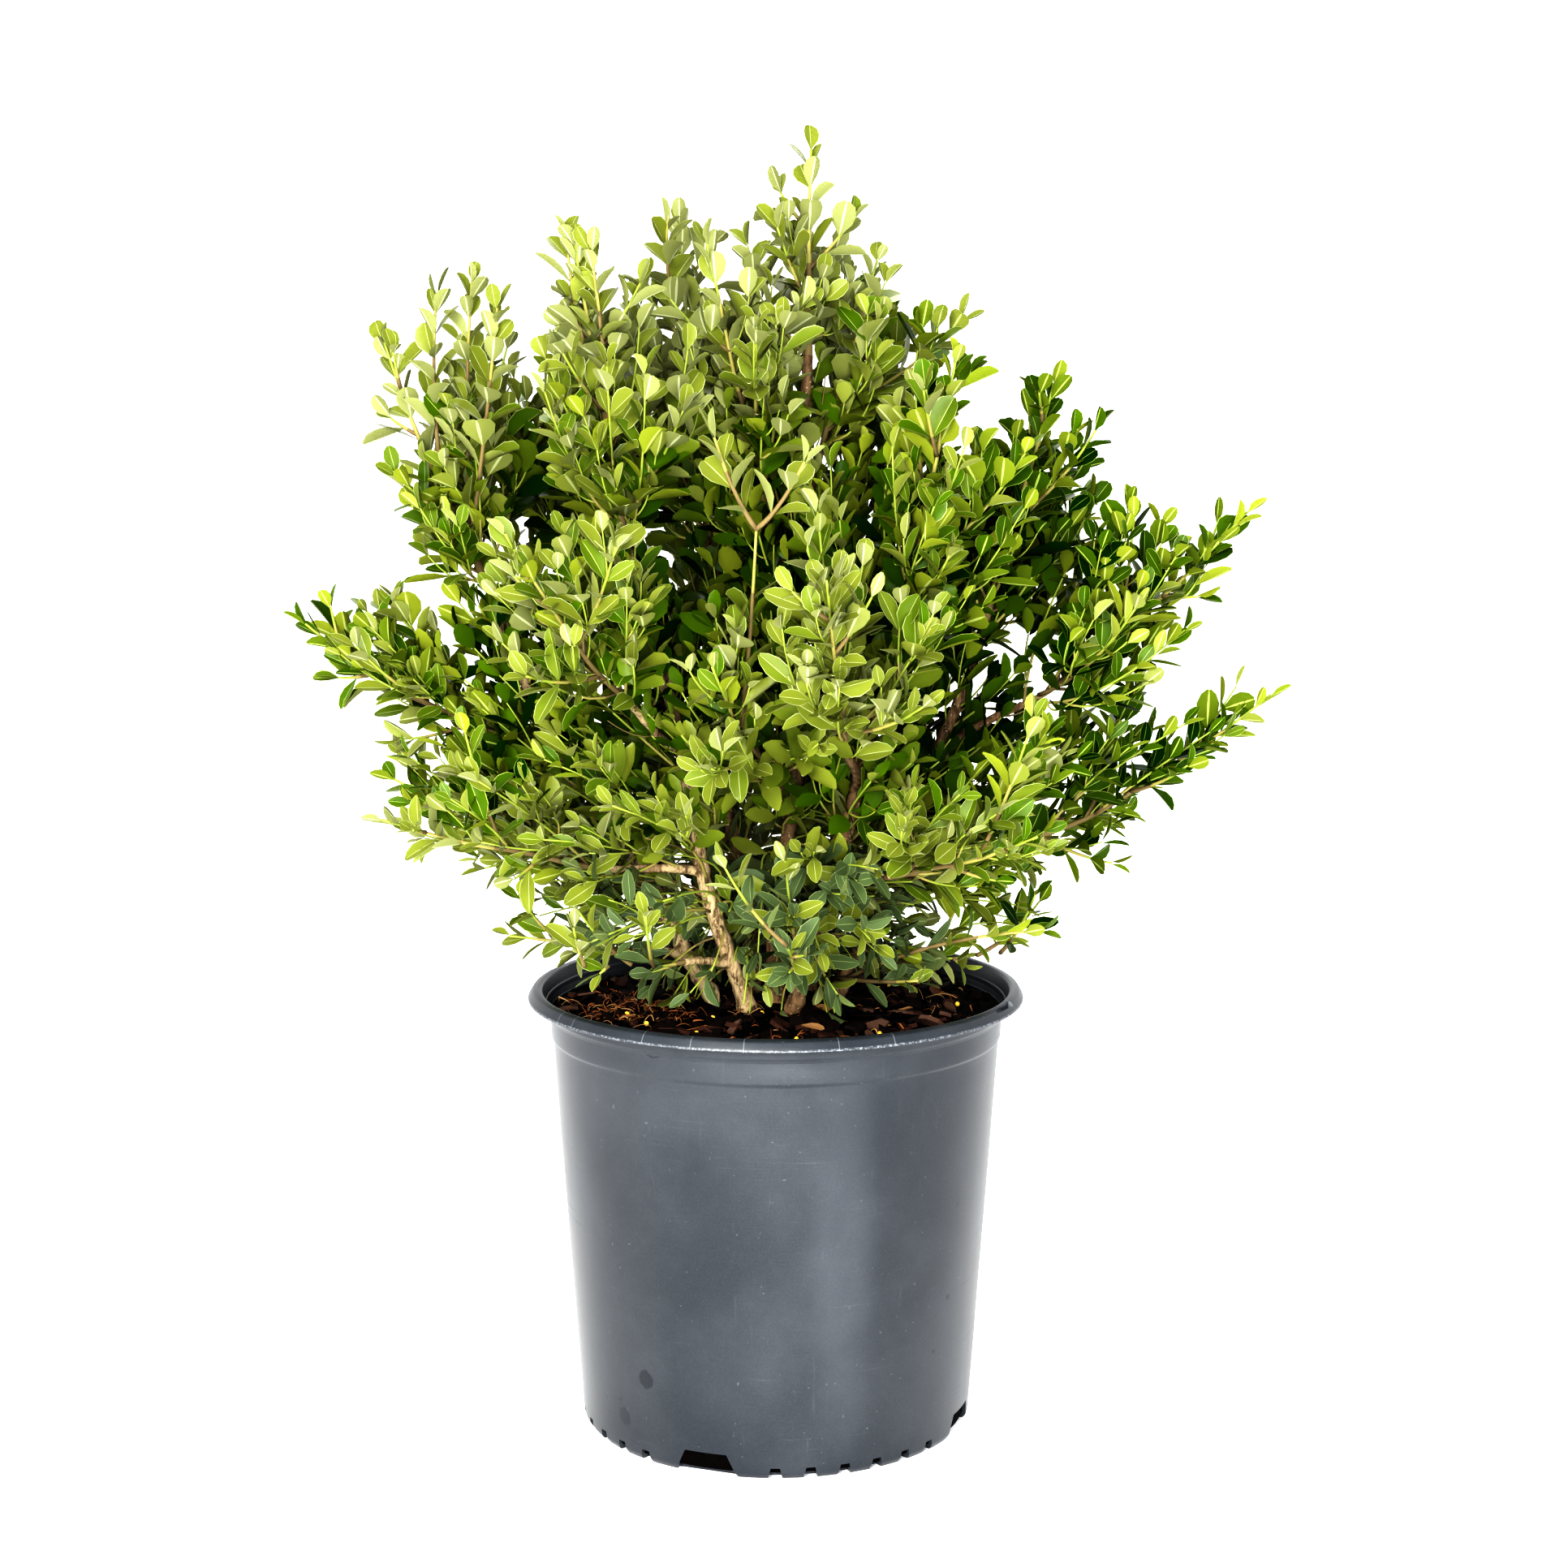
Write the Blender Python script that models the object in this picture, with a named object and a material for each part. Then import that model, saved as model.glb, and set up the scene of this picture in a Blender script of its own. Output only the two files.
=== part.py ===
"""A potted boxwood, life size, as one Blender scene.

A round nursery pot holds a soil plug. Seven stems rise from the soil: one in the
middle and six around it. Each stem and each bough ends in its own mass of
foliage, which is a short leafy stem with side twigs and leaves fused on.
Metres, +Z up. The origin is the centre of the pot's flat underside, and the
front of the plant faces -Y.
"""

import math
import random

import bmesh
import bpy
import numpy as np

# The pot: a round nursery container
POT_HEIGHT = 0.250
RIM_RADIUS = 0.140
RIM_WIDTH = 0.008
LIP_DROP = 0.0055
BASE_RADIUS = 0.1105
WALL_TOP_RADIUS = 0.1262
COLLAR_HEIGHT = 0.028
COLLAR_STEP = 0.0011
NECK_HEIGHT = 0.014
WALL = 0.0022
FLOOR = 0.0030
CORNER = 0.0030
POT_SEGMENTS = 36
SHARP_ANGLE = math.radians(62.0)

# The drain openings cut through the pot's bottom corner
DRAINS = 4
DRAIN_TURN = -20.0
DRAIN_WIDTH = 0.036
DRAIN_TOP_WIDTH = 0.024
DRAIN_HEIGHT = 0.013
NOTCHES = 6
NOTCH_STEP = 10.0
NOTCH_WIDTH = 0.0080
NOTCH_TOP_WIDTH = 0.0050
NOTCH_HEIGHT = 0.0065
CUT_DEPTH = 0.007

# The soil plug
SOIL_TOP = 0.2395
SOIL_EDGE = 0.2365
MOUND_RADIUS = 0.070
GAP = 0.0003

# Limbs: radii at the foot and the end, and how they are faceted
FLARE = 1.5
STEM_RADIUS = (0.0046, 0.0027)
BOUGH_RADIUS = (0.0026, 0.0018)
SPRAY_RADIUS = (0.0017, 0.0010)
TWIG_RADIUS = (0.0015, 0.0009)
LIMB_SIDES = 6
TWIG_SIDES = 3
STEM_POINTS = 8
BOUGH_POINTS = 4
SPRAY_POINTS = 5
TWIG_POINTS = 3

# Each stem: azimuth in degrees (0 is the front, 90 the right), reach of its
# foot from the pot's axis, and then its masses of foliage as
# name: (share of the stem where its bough leaves, azimuth, reach and height of the
# mass's furthest tip). A share of 1 is the mass that the stem itself carries.
STEMS = {
    "left": (
        -95.0,
        0.034,
        {
            "high": (1.0, -95.0, 0.226, 0.622),
            "mid": (0.40, -94.0, 0.279, 0.456),
            "low": (0.22, -99.0, 0.244, 0.368),
            "foot": (0.07, -88.0, 0.165, 0.280),
        },
    ),
    "front_left": (
        -38.0,
        0.026,
        {
            "high": (1.0, -56.0, 0.130, 0.672),
            "mid": (0.36, -39.0, 0.222, 0.520),
            "low": (0.20, -64.0, 0.245, 0.362),
            "foot": (0.07, -46.0, 0.176, 0.285),
        },
    ),
    "front_right": (
        22.0,
        0.026,
        {
            "high": (1.0, 49.0, 0.132, 0.624),
            "mid": (0.36, 6.0, 0.226, 0.500),
            "low": (0.22, 39.0, 0.224, 0.363),
            "foot": (0.07, 0.0, 0.180, 0.325),
        },
    ),
    "right": (
        84.0,
        0.032,
        {
            "high": (1.0, 90.0, 0.160, 0.606),
            "mid": (0.42, 85.0, 0.270, 0.524),
            "low": (0.20, 90.0, 0.290, 0.418),
            "foot": (0.06, 80.0, 0.160, 0.276),
        },
    ),
    "back_right": (
        142.0,
        0.030,
        {
            "high": (1.0, 142.0, 0.118, 0.678),
            "mid": (0.36, 130.0, 0.262, 0.550),
            "low": (0.20, 112.0, 0.240, 0.335),
            "foot": (0.07, 152.0, 0.190, 0.300),
        },
    ),
    "back_left": (
        -154.0,
        0.030,
        {
            "high": (1.0, -148.0, 0.108, 0.692),
            "mid": (0.42, -126.0, 0.244, 0.620),
            "back": (0.30, -173.0, 0.246, 0.500),
            "low": (0.20, -122.0, 0.250, 0.310),
            "foot": (0.07, -168.0, 0.190, 0.305),
        },
    ),
    "middle": (
        20.0,
        0.004,
        {
            "top": (1.0, 90.0, 0.020, 0.727),
            "left": (0.50, -32.0, 0.074, 0.672),
            "right": (0.56, 112.0, 0.070, 0.682),
            "front": (0.26, -12.0, 0.168, 0.450),
        },
    ),
}

# How stems and boughs bow, rise and sway, and where on them their masses sit
STEM_BOW = 0.15
BOUGH_BOW = 0.16
BOUGH_RISE = 0.006
WANDER = 0.012
WAVES = 2.0
LIMB_SEED = 300
FLARE_TOP = 0.4
STEM_SITE = 0.82
BOUGH_SITE = 0.66
ENTRY_SHARE = 0.30
ENTRY_STEPS = 41
SHARE_STEP = 0.005

# The space of a mass: how far it reaches and what it keeps clear of
CROWN_HEART = 0.43
SHOULDER = 0.30
LEAF_REACH = 0.024
REACH_SLACK = 0.014
SPACE_MARGIN = 0.0010
CLEARANCE = 0.0030
RIM_CLEARANCE = 0.008
UNDERSIDE_SLOPE = 0.50

# Side twigs: where they leave the leafy stem, their length and their lean
TWIGS = 5
TWIG_FIRST = 0.06
TWIG_LAST = 0.86
TWIG_LENGTH = 0.110
TWIG_FALL = 0.40
TWIG_SHORTEST = 0.030
TWIG_CUT = 0.86
TWIG_INSET = 0.022
TWIG_LEAN = math.radians(48.0)
TWIG_OUT = 0.88
TWIG_RISE = 0.28
GOLDEN_TURN = math.radians(137.5)
TURN_SPREAD = 0.30
LEAN_SPREAD = 0.12
LENGTH_SPREAD = 0.15
TWIG_SEED = 4100

# Leaves, larger than life so that a few stand for many
LEAF_LENGTH = 0.048
LEAF_WIDTH = 0.028
LEAF_THICKNESS = 0.0011
LEAF_ROOT = 0.0005
LEAF_LEAN = math.radians(46.0)
FOLDED_LEAN = math.radians(24.0)
LEAF_WIDEST = 0.56
LEAF_CUP = 0.0022
LEAF_STAGGER = 0.0012
LEAF_SPREAD = 0.15
PAIR_SPREAD = 0.12
SPRAY_PAIRS = (0.30, 0.55, 0.78, 0.96)
TWIG_PAIRS = (0.60, 0.96)
LEAF_SEED = 8200

# How a leaf's edges are tested, and how a union is tried again
LEAF_TEST_LINES = ((0, 1), (1, 2), (2, 3), (3, 0), (0, 2), (1, 3))
LEAF_TEST_STEPS = 7
ATTEMPTS = 6
ATTEMPT_STEP = 1000
MERGE_DISTANCES = (1e-7, 3e-7, 1e-6)


def clear_scene():
    """Remove every object of the scene."""
    for thing in list(bpy.data.objects):
        bpy.data.objects.remove(thing, do_unlink=True)


def finish(name, colour, roughness):
    """A plain Principled material."""
    made = bpy.data.materials.new(name)
    made.use_nodes = True
    shader = made.node_tree.nodes["Principled BSDF"]
    shader.inputs["Base Color"].default_value = (*colour, 1.0)
    shader.inputs["Roughness"].default_value = roughness
    shader.inputs["Metallic"].default_value = 0.0
    return made


def add_mesh(name, points, faces, material, collection=None):
    """A mesh object from points and faces, linked to the scene or a collection."""
    mesh = bpy.data.meshes.new(name)
    mesh.from_pydata([tuple(p) for p in points], [], faces)
    mesh.materials.append(material)
    thing = bpy.data.objects.new(name, mesh)
    (collection or bpy.context.scene.collection).objects.link(thing)
    return thing


def hide_helper(thing):
    """Mark a cutter, so that it is no part of the object."""
    thing.hide_render = True
    thing.display_type = "WIRE"


def lathe(profile, segments):
    """Points and faces of a closed profile turned about Z; its ends lie on Z."""
    turns = [2.0 * math.pi * k / segments for k in range(segments)]
    points = [(0.0, 0.0, profile[0][1])]
    for radius, height in profile[1:-1]:
        points += [(radius * math.cos(a), radius * math.sin(a), height) for a in turns]
    points.append((0.0, 0.0, profile[-1][1]))
    last = len(points) - 1
    rings = len(profile) - 2
    faces = []
    for k in range(segments):
        n = (k + 1) % segments
        faces.append((0, 1 + n, 1 + k))
        for ring in range(rings - 1):
            low = 1 + ring * segments
            high = low + segments
            faces.append((low + k, low + n, high + n, high + k))
        top = 1 + (rings - 1) * segments
        faces.append((top + k, top + n, last))
    return points, faces


def wall_radius(height):
    """Outer radius of the pot's tapered wall."""
    share = height / (POT_HEIGHT - COLLAR_HEIGHT)
    return BASE_RADIUS + (WALL_TOP_RADIUS - BASE_RADIUS) * share


def pot_profile():
    """The pot's section, from the middle of its underside round to the floor inside."""
    collar = POT_HEIGHT - COLLAR_HEIGHT
    neck = POT_HEIGHT - NECK_HEIGHT
    collar_radius = WALL_TOP_RADIUS + COLLAR_STEP
    neck_radius = collar_radius + COLLAR_STEP
    inner_rim = RIM_RADIUS - RIM_WIDTH
    lip = POT_HEIGHT - LIP_DROP
    return (
        (0.0, 0.0),
        (wall_radius(0.0) - CORNER, 0.0),
        (wall_radius(CORNER), CORNER),
        (wall_radius(collar), collar),
        (collar_radius, collar + COLLAR_STEP),
        (collar_radius + COLLAR_STEP / 2, neck),
        (neck_radius + COLLAR_STEP / 2, neck + COLLAR_STEP),
        (neck_radius + COLLAR_STEP, lip - COLLAR_STEP),
        (RIM_RADIUS - COLLAR_STEP, lip - COLLAR_STEP / 2),
        (RIM_RADIUS, lip),
        (RIM_RADIUS - RIM_WIDTH / 3, POT_HEIGHT - COLLAR_STEP),
        (inner_rim + RIM_WIDTH / 4, POT_HEIGHT),
        (inner_rim, POT_HEIGHT - COLLAR_STEP),
        (wall_radius(collar) - WALL, collar),
        (wall_radius(FLOOR) - WALL, FLOOR),
        (0.0, FLOOR),
    )


def inner_radius(height):
    """Inner radius of the pot, where the soil lies against it."""
    rows = pot_profile()[-4:-1]
    return float(np.interp(height, [z for _, z in rows[::-1]], [r for r, _ in rows[::-1]]))


def wedge(azimuth, width, top_width, height):
    """Points and faces of a trapezoid block across the pot's bottom corner."""
    angle = math.radians(azimuth)
    out = np.array((math.sin(angle), -math.cos(angle), 0.0))
    side = np.array((math.cos(angle), math.sin(angle), 0.0))
    flare = (width - top_width) / 2
    low = width / 2 + flare
    section = ((-low, -height), (low, -height), (top_width / 2, height), (-top_width / 2, height))
    points = []
    for reach in (BASE_RADIUS - CUT_DEPTH, BASE_RADIUS + CUT_DEPTH):
        points += [out * reach + side * across + np.array((0, 0, z)) for across, z in section]
    faces = [(3, 2, 1, 0), (4, 5, 6, 7)]
    faces += [(k, (k + 1) % 4, (k + 1) % 4 + 4, k + 4) for k in range(4)]
    return points, faces


def drain_places():
    """Each drain and each small notch between them: azimuth, widths and height."""
    quarter = 360.0 / DRAINS
    places = []
    for drain in range(DRAINS):
        azimuth = DRAIN_TURN + quarter * drain
        places.append((azimuth, DRAIN_WIDTH, DRAIN_TOP_WIDTH, DRAIN_HEIGHT))
        first = azimuth + (quarter - (NOTCHES - 1) * NOTCH_STEP) / 2
        for notch in range(NOTCHES):
            places.append((first + NOTCH_STEP * notch, NOTCH_WIDTH, NOTCH_TOP_WIDTH, NOTCH_HEIGHT))
    return places


def smooth(thing):
    """Shade a round piece smooth, with its sharp edges kept."""
    thing.data.shade_smooth()
    thing.data.set_sharp_from_angle(angle=SHARP_ANGLE)


def make_pot(material):
    """The pot with its drains and the small notches between them."""
    pot = add_mesh("pot", *lathe(pot_profile(), POT_SEGMENTS), material)
    smooth(pot)
    points, faces = [], []
    for place in drain_places():
        block, sides = wedge(*place)
        faces += [tuple(len(points) + k for k in side) for side in sides]
        points += block
    cutter = add_mesh("drain_cutter", points, faces, material)
    hide_helper(cutter)
    cut = pot.modifiers.new("drains", "BOOLEAN")
    cut.operation = "DIFFERENCE"
    cut.object = cutter
    cut.solver = "EXACT"


def make_soil(material):
    """The soil plug, a low mound that keeps clear of the pot."""
    collar = POT_HEIGHT - COLLAR_HEIGHT
    profile = (
        (0.0, FLOOR + GAP),
        (inner_radius(FLOOR) - 2 * GAP, FLOOR + GAP),
        (inner_radius(collar) - 2 * GAP, collar),
        (inner_radius(SOIL_EDGE) - 2 * GAP, SOIL_EDGE),
        (MOUND_RADIUS, SOIL_TOP),
        (0.0, SOIL_TOP),
    )
    smooth(add_mesh("soil", *lathe(profile, POT_SEGMENTS), material))


def polar(azimuth, reach, height):
    """A point from its azimuth, its reach from the pot's axis and its height."""
    angle = math.radians(azimuth)
    return np.array((reach * math.sin(angle), -reach * math.cos(angle), height))


def bow(start, knee, end, shares):
    """Points of a quadratic curve from start to end, drawn towards knee."""
    t = np.asarray(shares, float)[:, None]
    return (1 - t) ** 2 * start + 2 * t * (1 - t) * knee + t**2 * end


def shorten(start, tip):
    """The end of a twig whose last leaves reach the tip."""
    return tip - unit(tip - start) * LEAF_REACH


def unit(vector):
    """The vector at length one."""
    return vector / np.linalg.norm(vector)


def along_limb(limb, shares):
    """Points at these shares of a limb's bowed line, with its small sideways waves."""
    shares = np.asarray(shares, float)
    start, knee, end = limb["curve"]
    turns = 2 * math.pi * WAVES * shares + limb["phase"]
    sway = WANDER * np.linalg.norm(end - start) * np.sin(turns) * np.sin(math.pi * np.sqrt(shares))
    return bow(start, knee, end, shares) + limb["sideways"] * sway[:, None]


def new_limb(name, mass, curve, parent, number):
    """A stem or bough, with the way it sways and the site of its mass."""
    draw = random.Random(LIMB_SEED + number)
    across = unit(np.cross(curve[2] - curve[0], polar(draw.uniform(0.0, 360.0), 1.0, 0.3)))
    limb = {"name": name, "mass": mass, "curve": curve, "parent": parent}
    limb["sideways"] = across
    limb["phase"] = draw.uniform(0.0, 2 * math.pi)
    limb["middle"] = BOUGH_SITE if parent else STEM_SITE
    limb["site"] = along_limb(limb, [limb["middle"]])[0]
    return limb


def plan_limbs():
    """Every stem and bough as a curve that runs on to the tip of its mass."""
    limbs = []
    for stem, (azimuth, foot, masses) in STEMS.items():
        start = polar(azimuth, foot, SOIL_TOP + GAP)
        main = next(name for name, row in masses.items() if row[0] == 1.0)
        tip = shorten(start, polar(*masses[main][1:]))
        knee = (start + tip) / 2
        knee[:2] += (tip - start)[:2] * STEM_BOW
        trunk = new_limb("stem_" + stem, f"{stem}_{main}", (start, knee, tip), None, len(limbs))
        limbs.append(trunk)
        for mass, (share, *place) in masses.items():
            if mass == main:
                continue
            root = along_limb(trunk, [share])[0]
            end = shorten(root, polar(*place))
            knee = (root + end) / 2
            knee[2] -= BOUGH_BOW * np.linalg.norm((end - root)[:2])
            knee[2] = max(knee[2], root[2] + BOUGH_RISE)
            curve = (root, knee, end)
            limbs.append(new_limb(f"bough_{stem}_{mass}", f"{stem}_{mass}", curve, trunk["name"], len(limbs)))
    return limbs


def margin_in_space(points, sites, index):
    """How far each point lies inside one mass's space, before the space of the nearest other."""
    own = sites[index]
    others = np.delete(sites, index, axis=0)
    near = ((points - own) ** 2).sum(-1)[:, None]
    far = ((points[:, None, :] - others[None]) ** 2).sum(-1)
    return ((far - near) / (2 * np.linalg.norm(others - own, axis=1))).min(axis=1)


def end_limbs(limbs):
    """Give each limb the share of its curve where it enters its mass."""
    sites = np.array([limb["site"] for limb in limbs])
    for index, limb in enumerate(limbs):
        shares = np.linspace(ENTRY_SHARE, limb["middle"], ENTRY_STEPS)
        inside = margin_in_space(along_limb(limb, shares), sites, index)
        limb["end"] = float(shares[int(np.argmax(inside > 4 * SPACE_MARGIN))])
    return sites


def taper(radii, count):
    """Radii that fall evenly from the first to the second."""
    return np.linspace(radii[0], radii[1], count)


def frames(points, first=None, last=None):
    """A unit tangent and two unit normals at each point, without twist; the ends' may be given."""
    tangents = np.gradient(points, axis=0)
    tangents /= np.linalg.norm(tangents, axis=1)[:, None]
    tangents[0] = tangents[0] if first is None else first
    tangents[-1] = tangents[-1] if last is None else last
    spare = np.array((0.0, 0.0, 1.0)) if abs(tangents[0][2]) < 0.9 else np.array((1.0, 0.0, 0.0))
    normal = unit(np.cross(tangents[0], spare))
    normals = []
    for tangent in tangents:
        normal = unit(normal - tangent * normal.dot(tangent))
        normals.append(normal)
    normals = np.array(normals)
    return tangents, normals, np.cross(tangents, normals)


def tube(points, radii, sides, start_way=None, end_way=None):
    """Points and faces of a tapering tube with flat ends, square to its ways there."""
    _, first, second = frames(points, start_way, end_way)
    turns = 2 * np.pi * np.arange(sides) / sides
    ring = first[:, None] * np.cos(turns)[None, :, None] + second[:, None] * np.sin(turns)[None, :, None]
    made = (points[:, None] + ring * np.asarray(radii)[:, None, None]).reshape(-1, 3)
    faces = [tuple(reversed(range(sides)))]
    for row in range(len(points) - 1):
        low = row * sides
        for k in range(sides):
            n = (k + 1) % sides
            faces.append((low + k, low + n, low + sides + n, low + sides + k))
    faces.append(tuple(range((len(points) - 1) * sides, len(points) * sides)))
    return made, faces


def limb_path(limb):
    """Points and radii of a stem or bough, from its foot to where its mass begins."""
    is_stem = limb["parent"] is None
    count = STEM_POINTS if is_stem else BOUGH_POINTS
    points = along_limb(limb, np.linspace(0.0, limb["end"], count))
    radii = taper(STEM_RADIUS if is_stem else BOUGH_RADIUS, count)
    if is_stem:
        radii[0] *= FLARE
        points[1] = points[0] + (points[1] - points[0]) * FLARE_TOP
    return points, radii


def heading(limb):
    """The way that a limb points where its mass begins."""
    before, after = along_limb(limb, [limb["end"] - SHARE_STEP, limb["end"] + SHARE_STEP])
    return unit(after - before)


def limb_tube(limb, points, radii):
    """A limb's tube; a stem's lowest ring lies flat on the soil."""
    made, faces = tube(points, radii, LIMB_SIDES, end_way=heading(limb))
    if limb["parent"] is None:
        made[:LIMB_SIDES, 2] = points[0][2]
    return made, faces


def make_limbs(limbs, bark):
    """Each stem and bough; a bough is cut clear of the stem that carries it."""
    for limb in limbs:
        points, radii = limb_path(limb)
        if limb["parent"] is None:
            smooth(add_mesh(limb["name"], *limb_tube(limb, points, radii), bark))
            wider = limb_tube(limb, points, radii + GAP / math.cos(math.pi / LIMB_SIDES))
            hide_helper(add_mesh(limb["name"] + "_clearance", *wider, bark))
        else:
            bough = add_mesh(limb["name"], *limb_tube(limb, points, radii), bark)
            smooth(bough)
            cut = bough.modifiers.new("seat", "BOOLEAN")
            cut.operation = "DIFFERENCE"
            cut.object = bpy.data.objects[limb["parent"] + "_clearance"]
            cut.solver = "EXACT"


def runs_of(limbs):
    """Every straight run of every limb, as starts, ends and the wider radius."""
    starts, ends, radii = [], [], []
    for limb in limbs:
        points, widths = limb_path(limb)
        starts.append(points[:-1])
        ends.append(points[1:])
        radii.append(widths[:-1])
    return np.concatenate(starts), np.concatenate(ends), np.concatenate(radii)


class Space:
    """The room that one mass may fill: its own share of the crown, clear of limbs and pot."""

    def __init__(self, limbs, sites, runs, index):
        self.sites = sites
        self.index = index
        self.starts, self.ends, self.radii = runs
        self.heart = np.array((0.0, 0.0, CROWN_HEART))
        self.axis = unit(limbs[index]["curve"][2] - self.heart)
        self.reach = self.outness(limbs[index]["curve"][2]) + LEAF_REACH + REACH_SLACK

    def outness(self, points):
        """Distance from the crown's heart, with more for what lies off the mass's own axis."""
        away = points - self.heart
        off = np.linalg.norm(away - (away @ self.axis)[..., None] * self.axis, axis=-1)
        return np.linalg.norm(away, axis=-1) + SHOULDER * off

    def limb_gap(self, points):
        """The least distance from the points to any limb's surface."""
        along = self.ends - self.starts
        share = ((points[:, None] - self.starts) * along).sum(-1) / (along**2).sum(-1)
        nearest = self.starts + np.clip(share, 0.0, 1.0)[..., None] * along
        return (np.linalg.norm(points[:, None] - nearest, axis=-1) - self.radii).min()

    def above_pot(self, points):
        """True if each point is off the soil inside the rim, or above the crown's sloping underside."""
        reach = np.linalg.norm(points[:, :2], axis=1)
        inside = reach < RIM_RADIUS - RIM_WIDTH - 2 * CLEARANCE
        slope = UNDERSIDE_SLOPE * np.maximum(reach - RIM_RADIUS, 0.0)
        floor = np.where(inside, SOIL_TOP + CLEARANCE, POT_HEIGHT + RIM_CLEARANCE + slope)
        return bool((points[:, 2] > floor).all())

    def holds(self, points, width=0.0, inset=0.0):
        """True if the points, this wide, stay in the space."""
        if self.outness(points).max() > self.reach - inset or not self.above_pot(points):
            return False
        if margin_in_space(points, self.sites, self.index).min() < SPACE_MARGIN + width:
            return False
        return self.limb_gap(points) > CLEARANCE


def spray_path(limb):
    """The leafy stem that carries a mass on from its limb to its tip."""
    points = along_limb(limb, np.linspace(limb["end"], 1.0, SPRAY_POINTS))
    points[0] += heading(limb) * GAP
    return points


def along_path(path, share):
    """The point, the tangent and two normals at a share of a path."""
    shares = np.linspace(0.0, 1.0, len(path))
    rows = (path, *frames(path))
    return [np.array([np.interp(share, shares, row[:, k]) for k in range(3)]) for row in rows]


def twigs_of(path, space):
    """The side twigs of one mass: a golden turn apart, leaning out and then rising."""
    draw = random.Random(TWIG_SEED + space.index)
    made = []
    for number in range(TWIGS):
        share = TWIG_FIRST + (TWIG_LAST - TWIG_FIRST) * number / (TWIGS - 1)
        at, tangent, one, two = along_path(path, share)
        turn = GOLDEN_TURN * number + draw.uniform(-TURN_SPREAD, TURN_SPREAD) + space.index
        lean = TWIG_LEAN + draw.uniform(-LEAN_SPREAD, LEAN_SPREAD)
        side = one * math.cos(turn) + two * math.sin(turn)
        way = unit(tangent * math.cos(lean) + side * math.sin(lean))
        length = TWIG_LENGTH * (1 - TWIG_FALL * share) * (1 + draw.uniform(-LENGTH_SPREAD, LENGTH_SPREAD))
        while length > TWIG_SHORTEST:
            knee = at + way * length / 2
            tip = at + way * length * TWIG_OUT + np.array((0.0, 0.0, TWIG_RISE * length))
            twig = bow(at, knee, tip, np.linspace(0.0, 1.0, TWIG_POINTS))
            if space.holds(twig[1:], TWIG_RADIUS[0], TWIG_INSET):
                made.append(twig)
                break
            length *= TWIG_CUT
    return made


def leaf_mesh(root, way, face):
    """A leaf of eight faces: root, tip, two sides, and its thickness in the middle."""
    side = np.cross(face, way)
    sunk = root - way * LEAF_ROOT
    middle = root + way * LEAF_LENGTH * LEAF_WIDEST
    points = np.array(
        (
            sunk,
            middle + side * LEAF_WIDTH / 2 + face * LEAF_CUP,
            root + way * LEAF_LENGTH,
            middle - side * LEAF_WIDTH / 2 + face * LEAF_CUP,
            middle + face * LEAF_THICKNESS / 2,
            middle - face * LEAF_THICKNESS / 2,
        )
    )
    faces = [(0, 4, 1), (1, 4, 2), (2, 4, 3), (3, 4, 0), (1, 5, 0), (2, 5, 1), (3, 5, 2), (0, 5, 3)]
    return points, faces


def leaves_along(path, pairs, draw, space):
    """Opposite pairs of leaves, each a quarter turn on; a leaf that meets something folds in."""
    made = []
    start = draw.uniform(0.0, math.pi)
    for number, share in enumerate(pairs):
        at, tangent, one, two = along_path(path, share)
        for half in range(2):
            turn = start + number * math.pi / 2 + half * math.pi
            turn += draw.uniform(-PAIR_SPREAD, PAIR_SPREAD)
            side = unit(one * math.cos(turn) + two * math.sin(turn))
            root = at + tangent * LEAF_STAGGER * (half - draw.random())
            spread = draw.uniform(-LEAF_SPREAD, LEAF_SPREAD)
            for lean in (LEAF_LEAN + spread, FOLDED_LEAN + spread):
                way = unit(tangent * math.cos(lean) + side * math.sin(lean))
                face = unit(tangent - way * tangent.dot(way))
                points, faces = leaf_mesh(root, way, face)
                edges = [np.linspace(points[a], points[b], LEAF_TEST_STEPS)[1:] for a, b in LEAF_TEST_LINES]
                if space.holds(np.concatenate(edges)):
                    made.append((points, faces))
                    break
    return made


def keep_main_shell(mesh):
    """Drop the loose scraps and the sealed hollows that a union leaves."""
    shape = bmesh.new()
    shape.from_mesh(mesh)
    unseen = set(shape.faces)
    shells = []
    while unseen:
        front = [unseen.pop()]
        shell = []
        while front:
            face = front.pop()
            shell.append(face)
            beside = {near for edge in face.edges for near in edge.link_faces} & unseen
            unseen -= beside
            front += beside
        shells.append(shell)
    shells.sort(key=len)
    scraps = [face for shell in shells[:-1] for face in shell]
    bmesh.ops.delete(shape, geom=scraps, context="FACES")
    shape.to_mesh(mesh)
    shape.free()


def is_sound(mesh):
    """True if the mesh stays closed when its nearest vertices are merged."""
    shape = bmesh.new()
    shape.from_mesh(mesh)
    sound = True
    for distance in MERGE_DISTANCES:
        bmesh.ops.remove_doubles(shape, verts=shape.verts, dist=distance)
        sound = sound and all(edge.is_manifold for edge in shape.edges)
    shape.free()
    return sound


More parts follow.
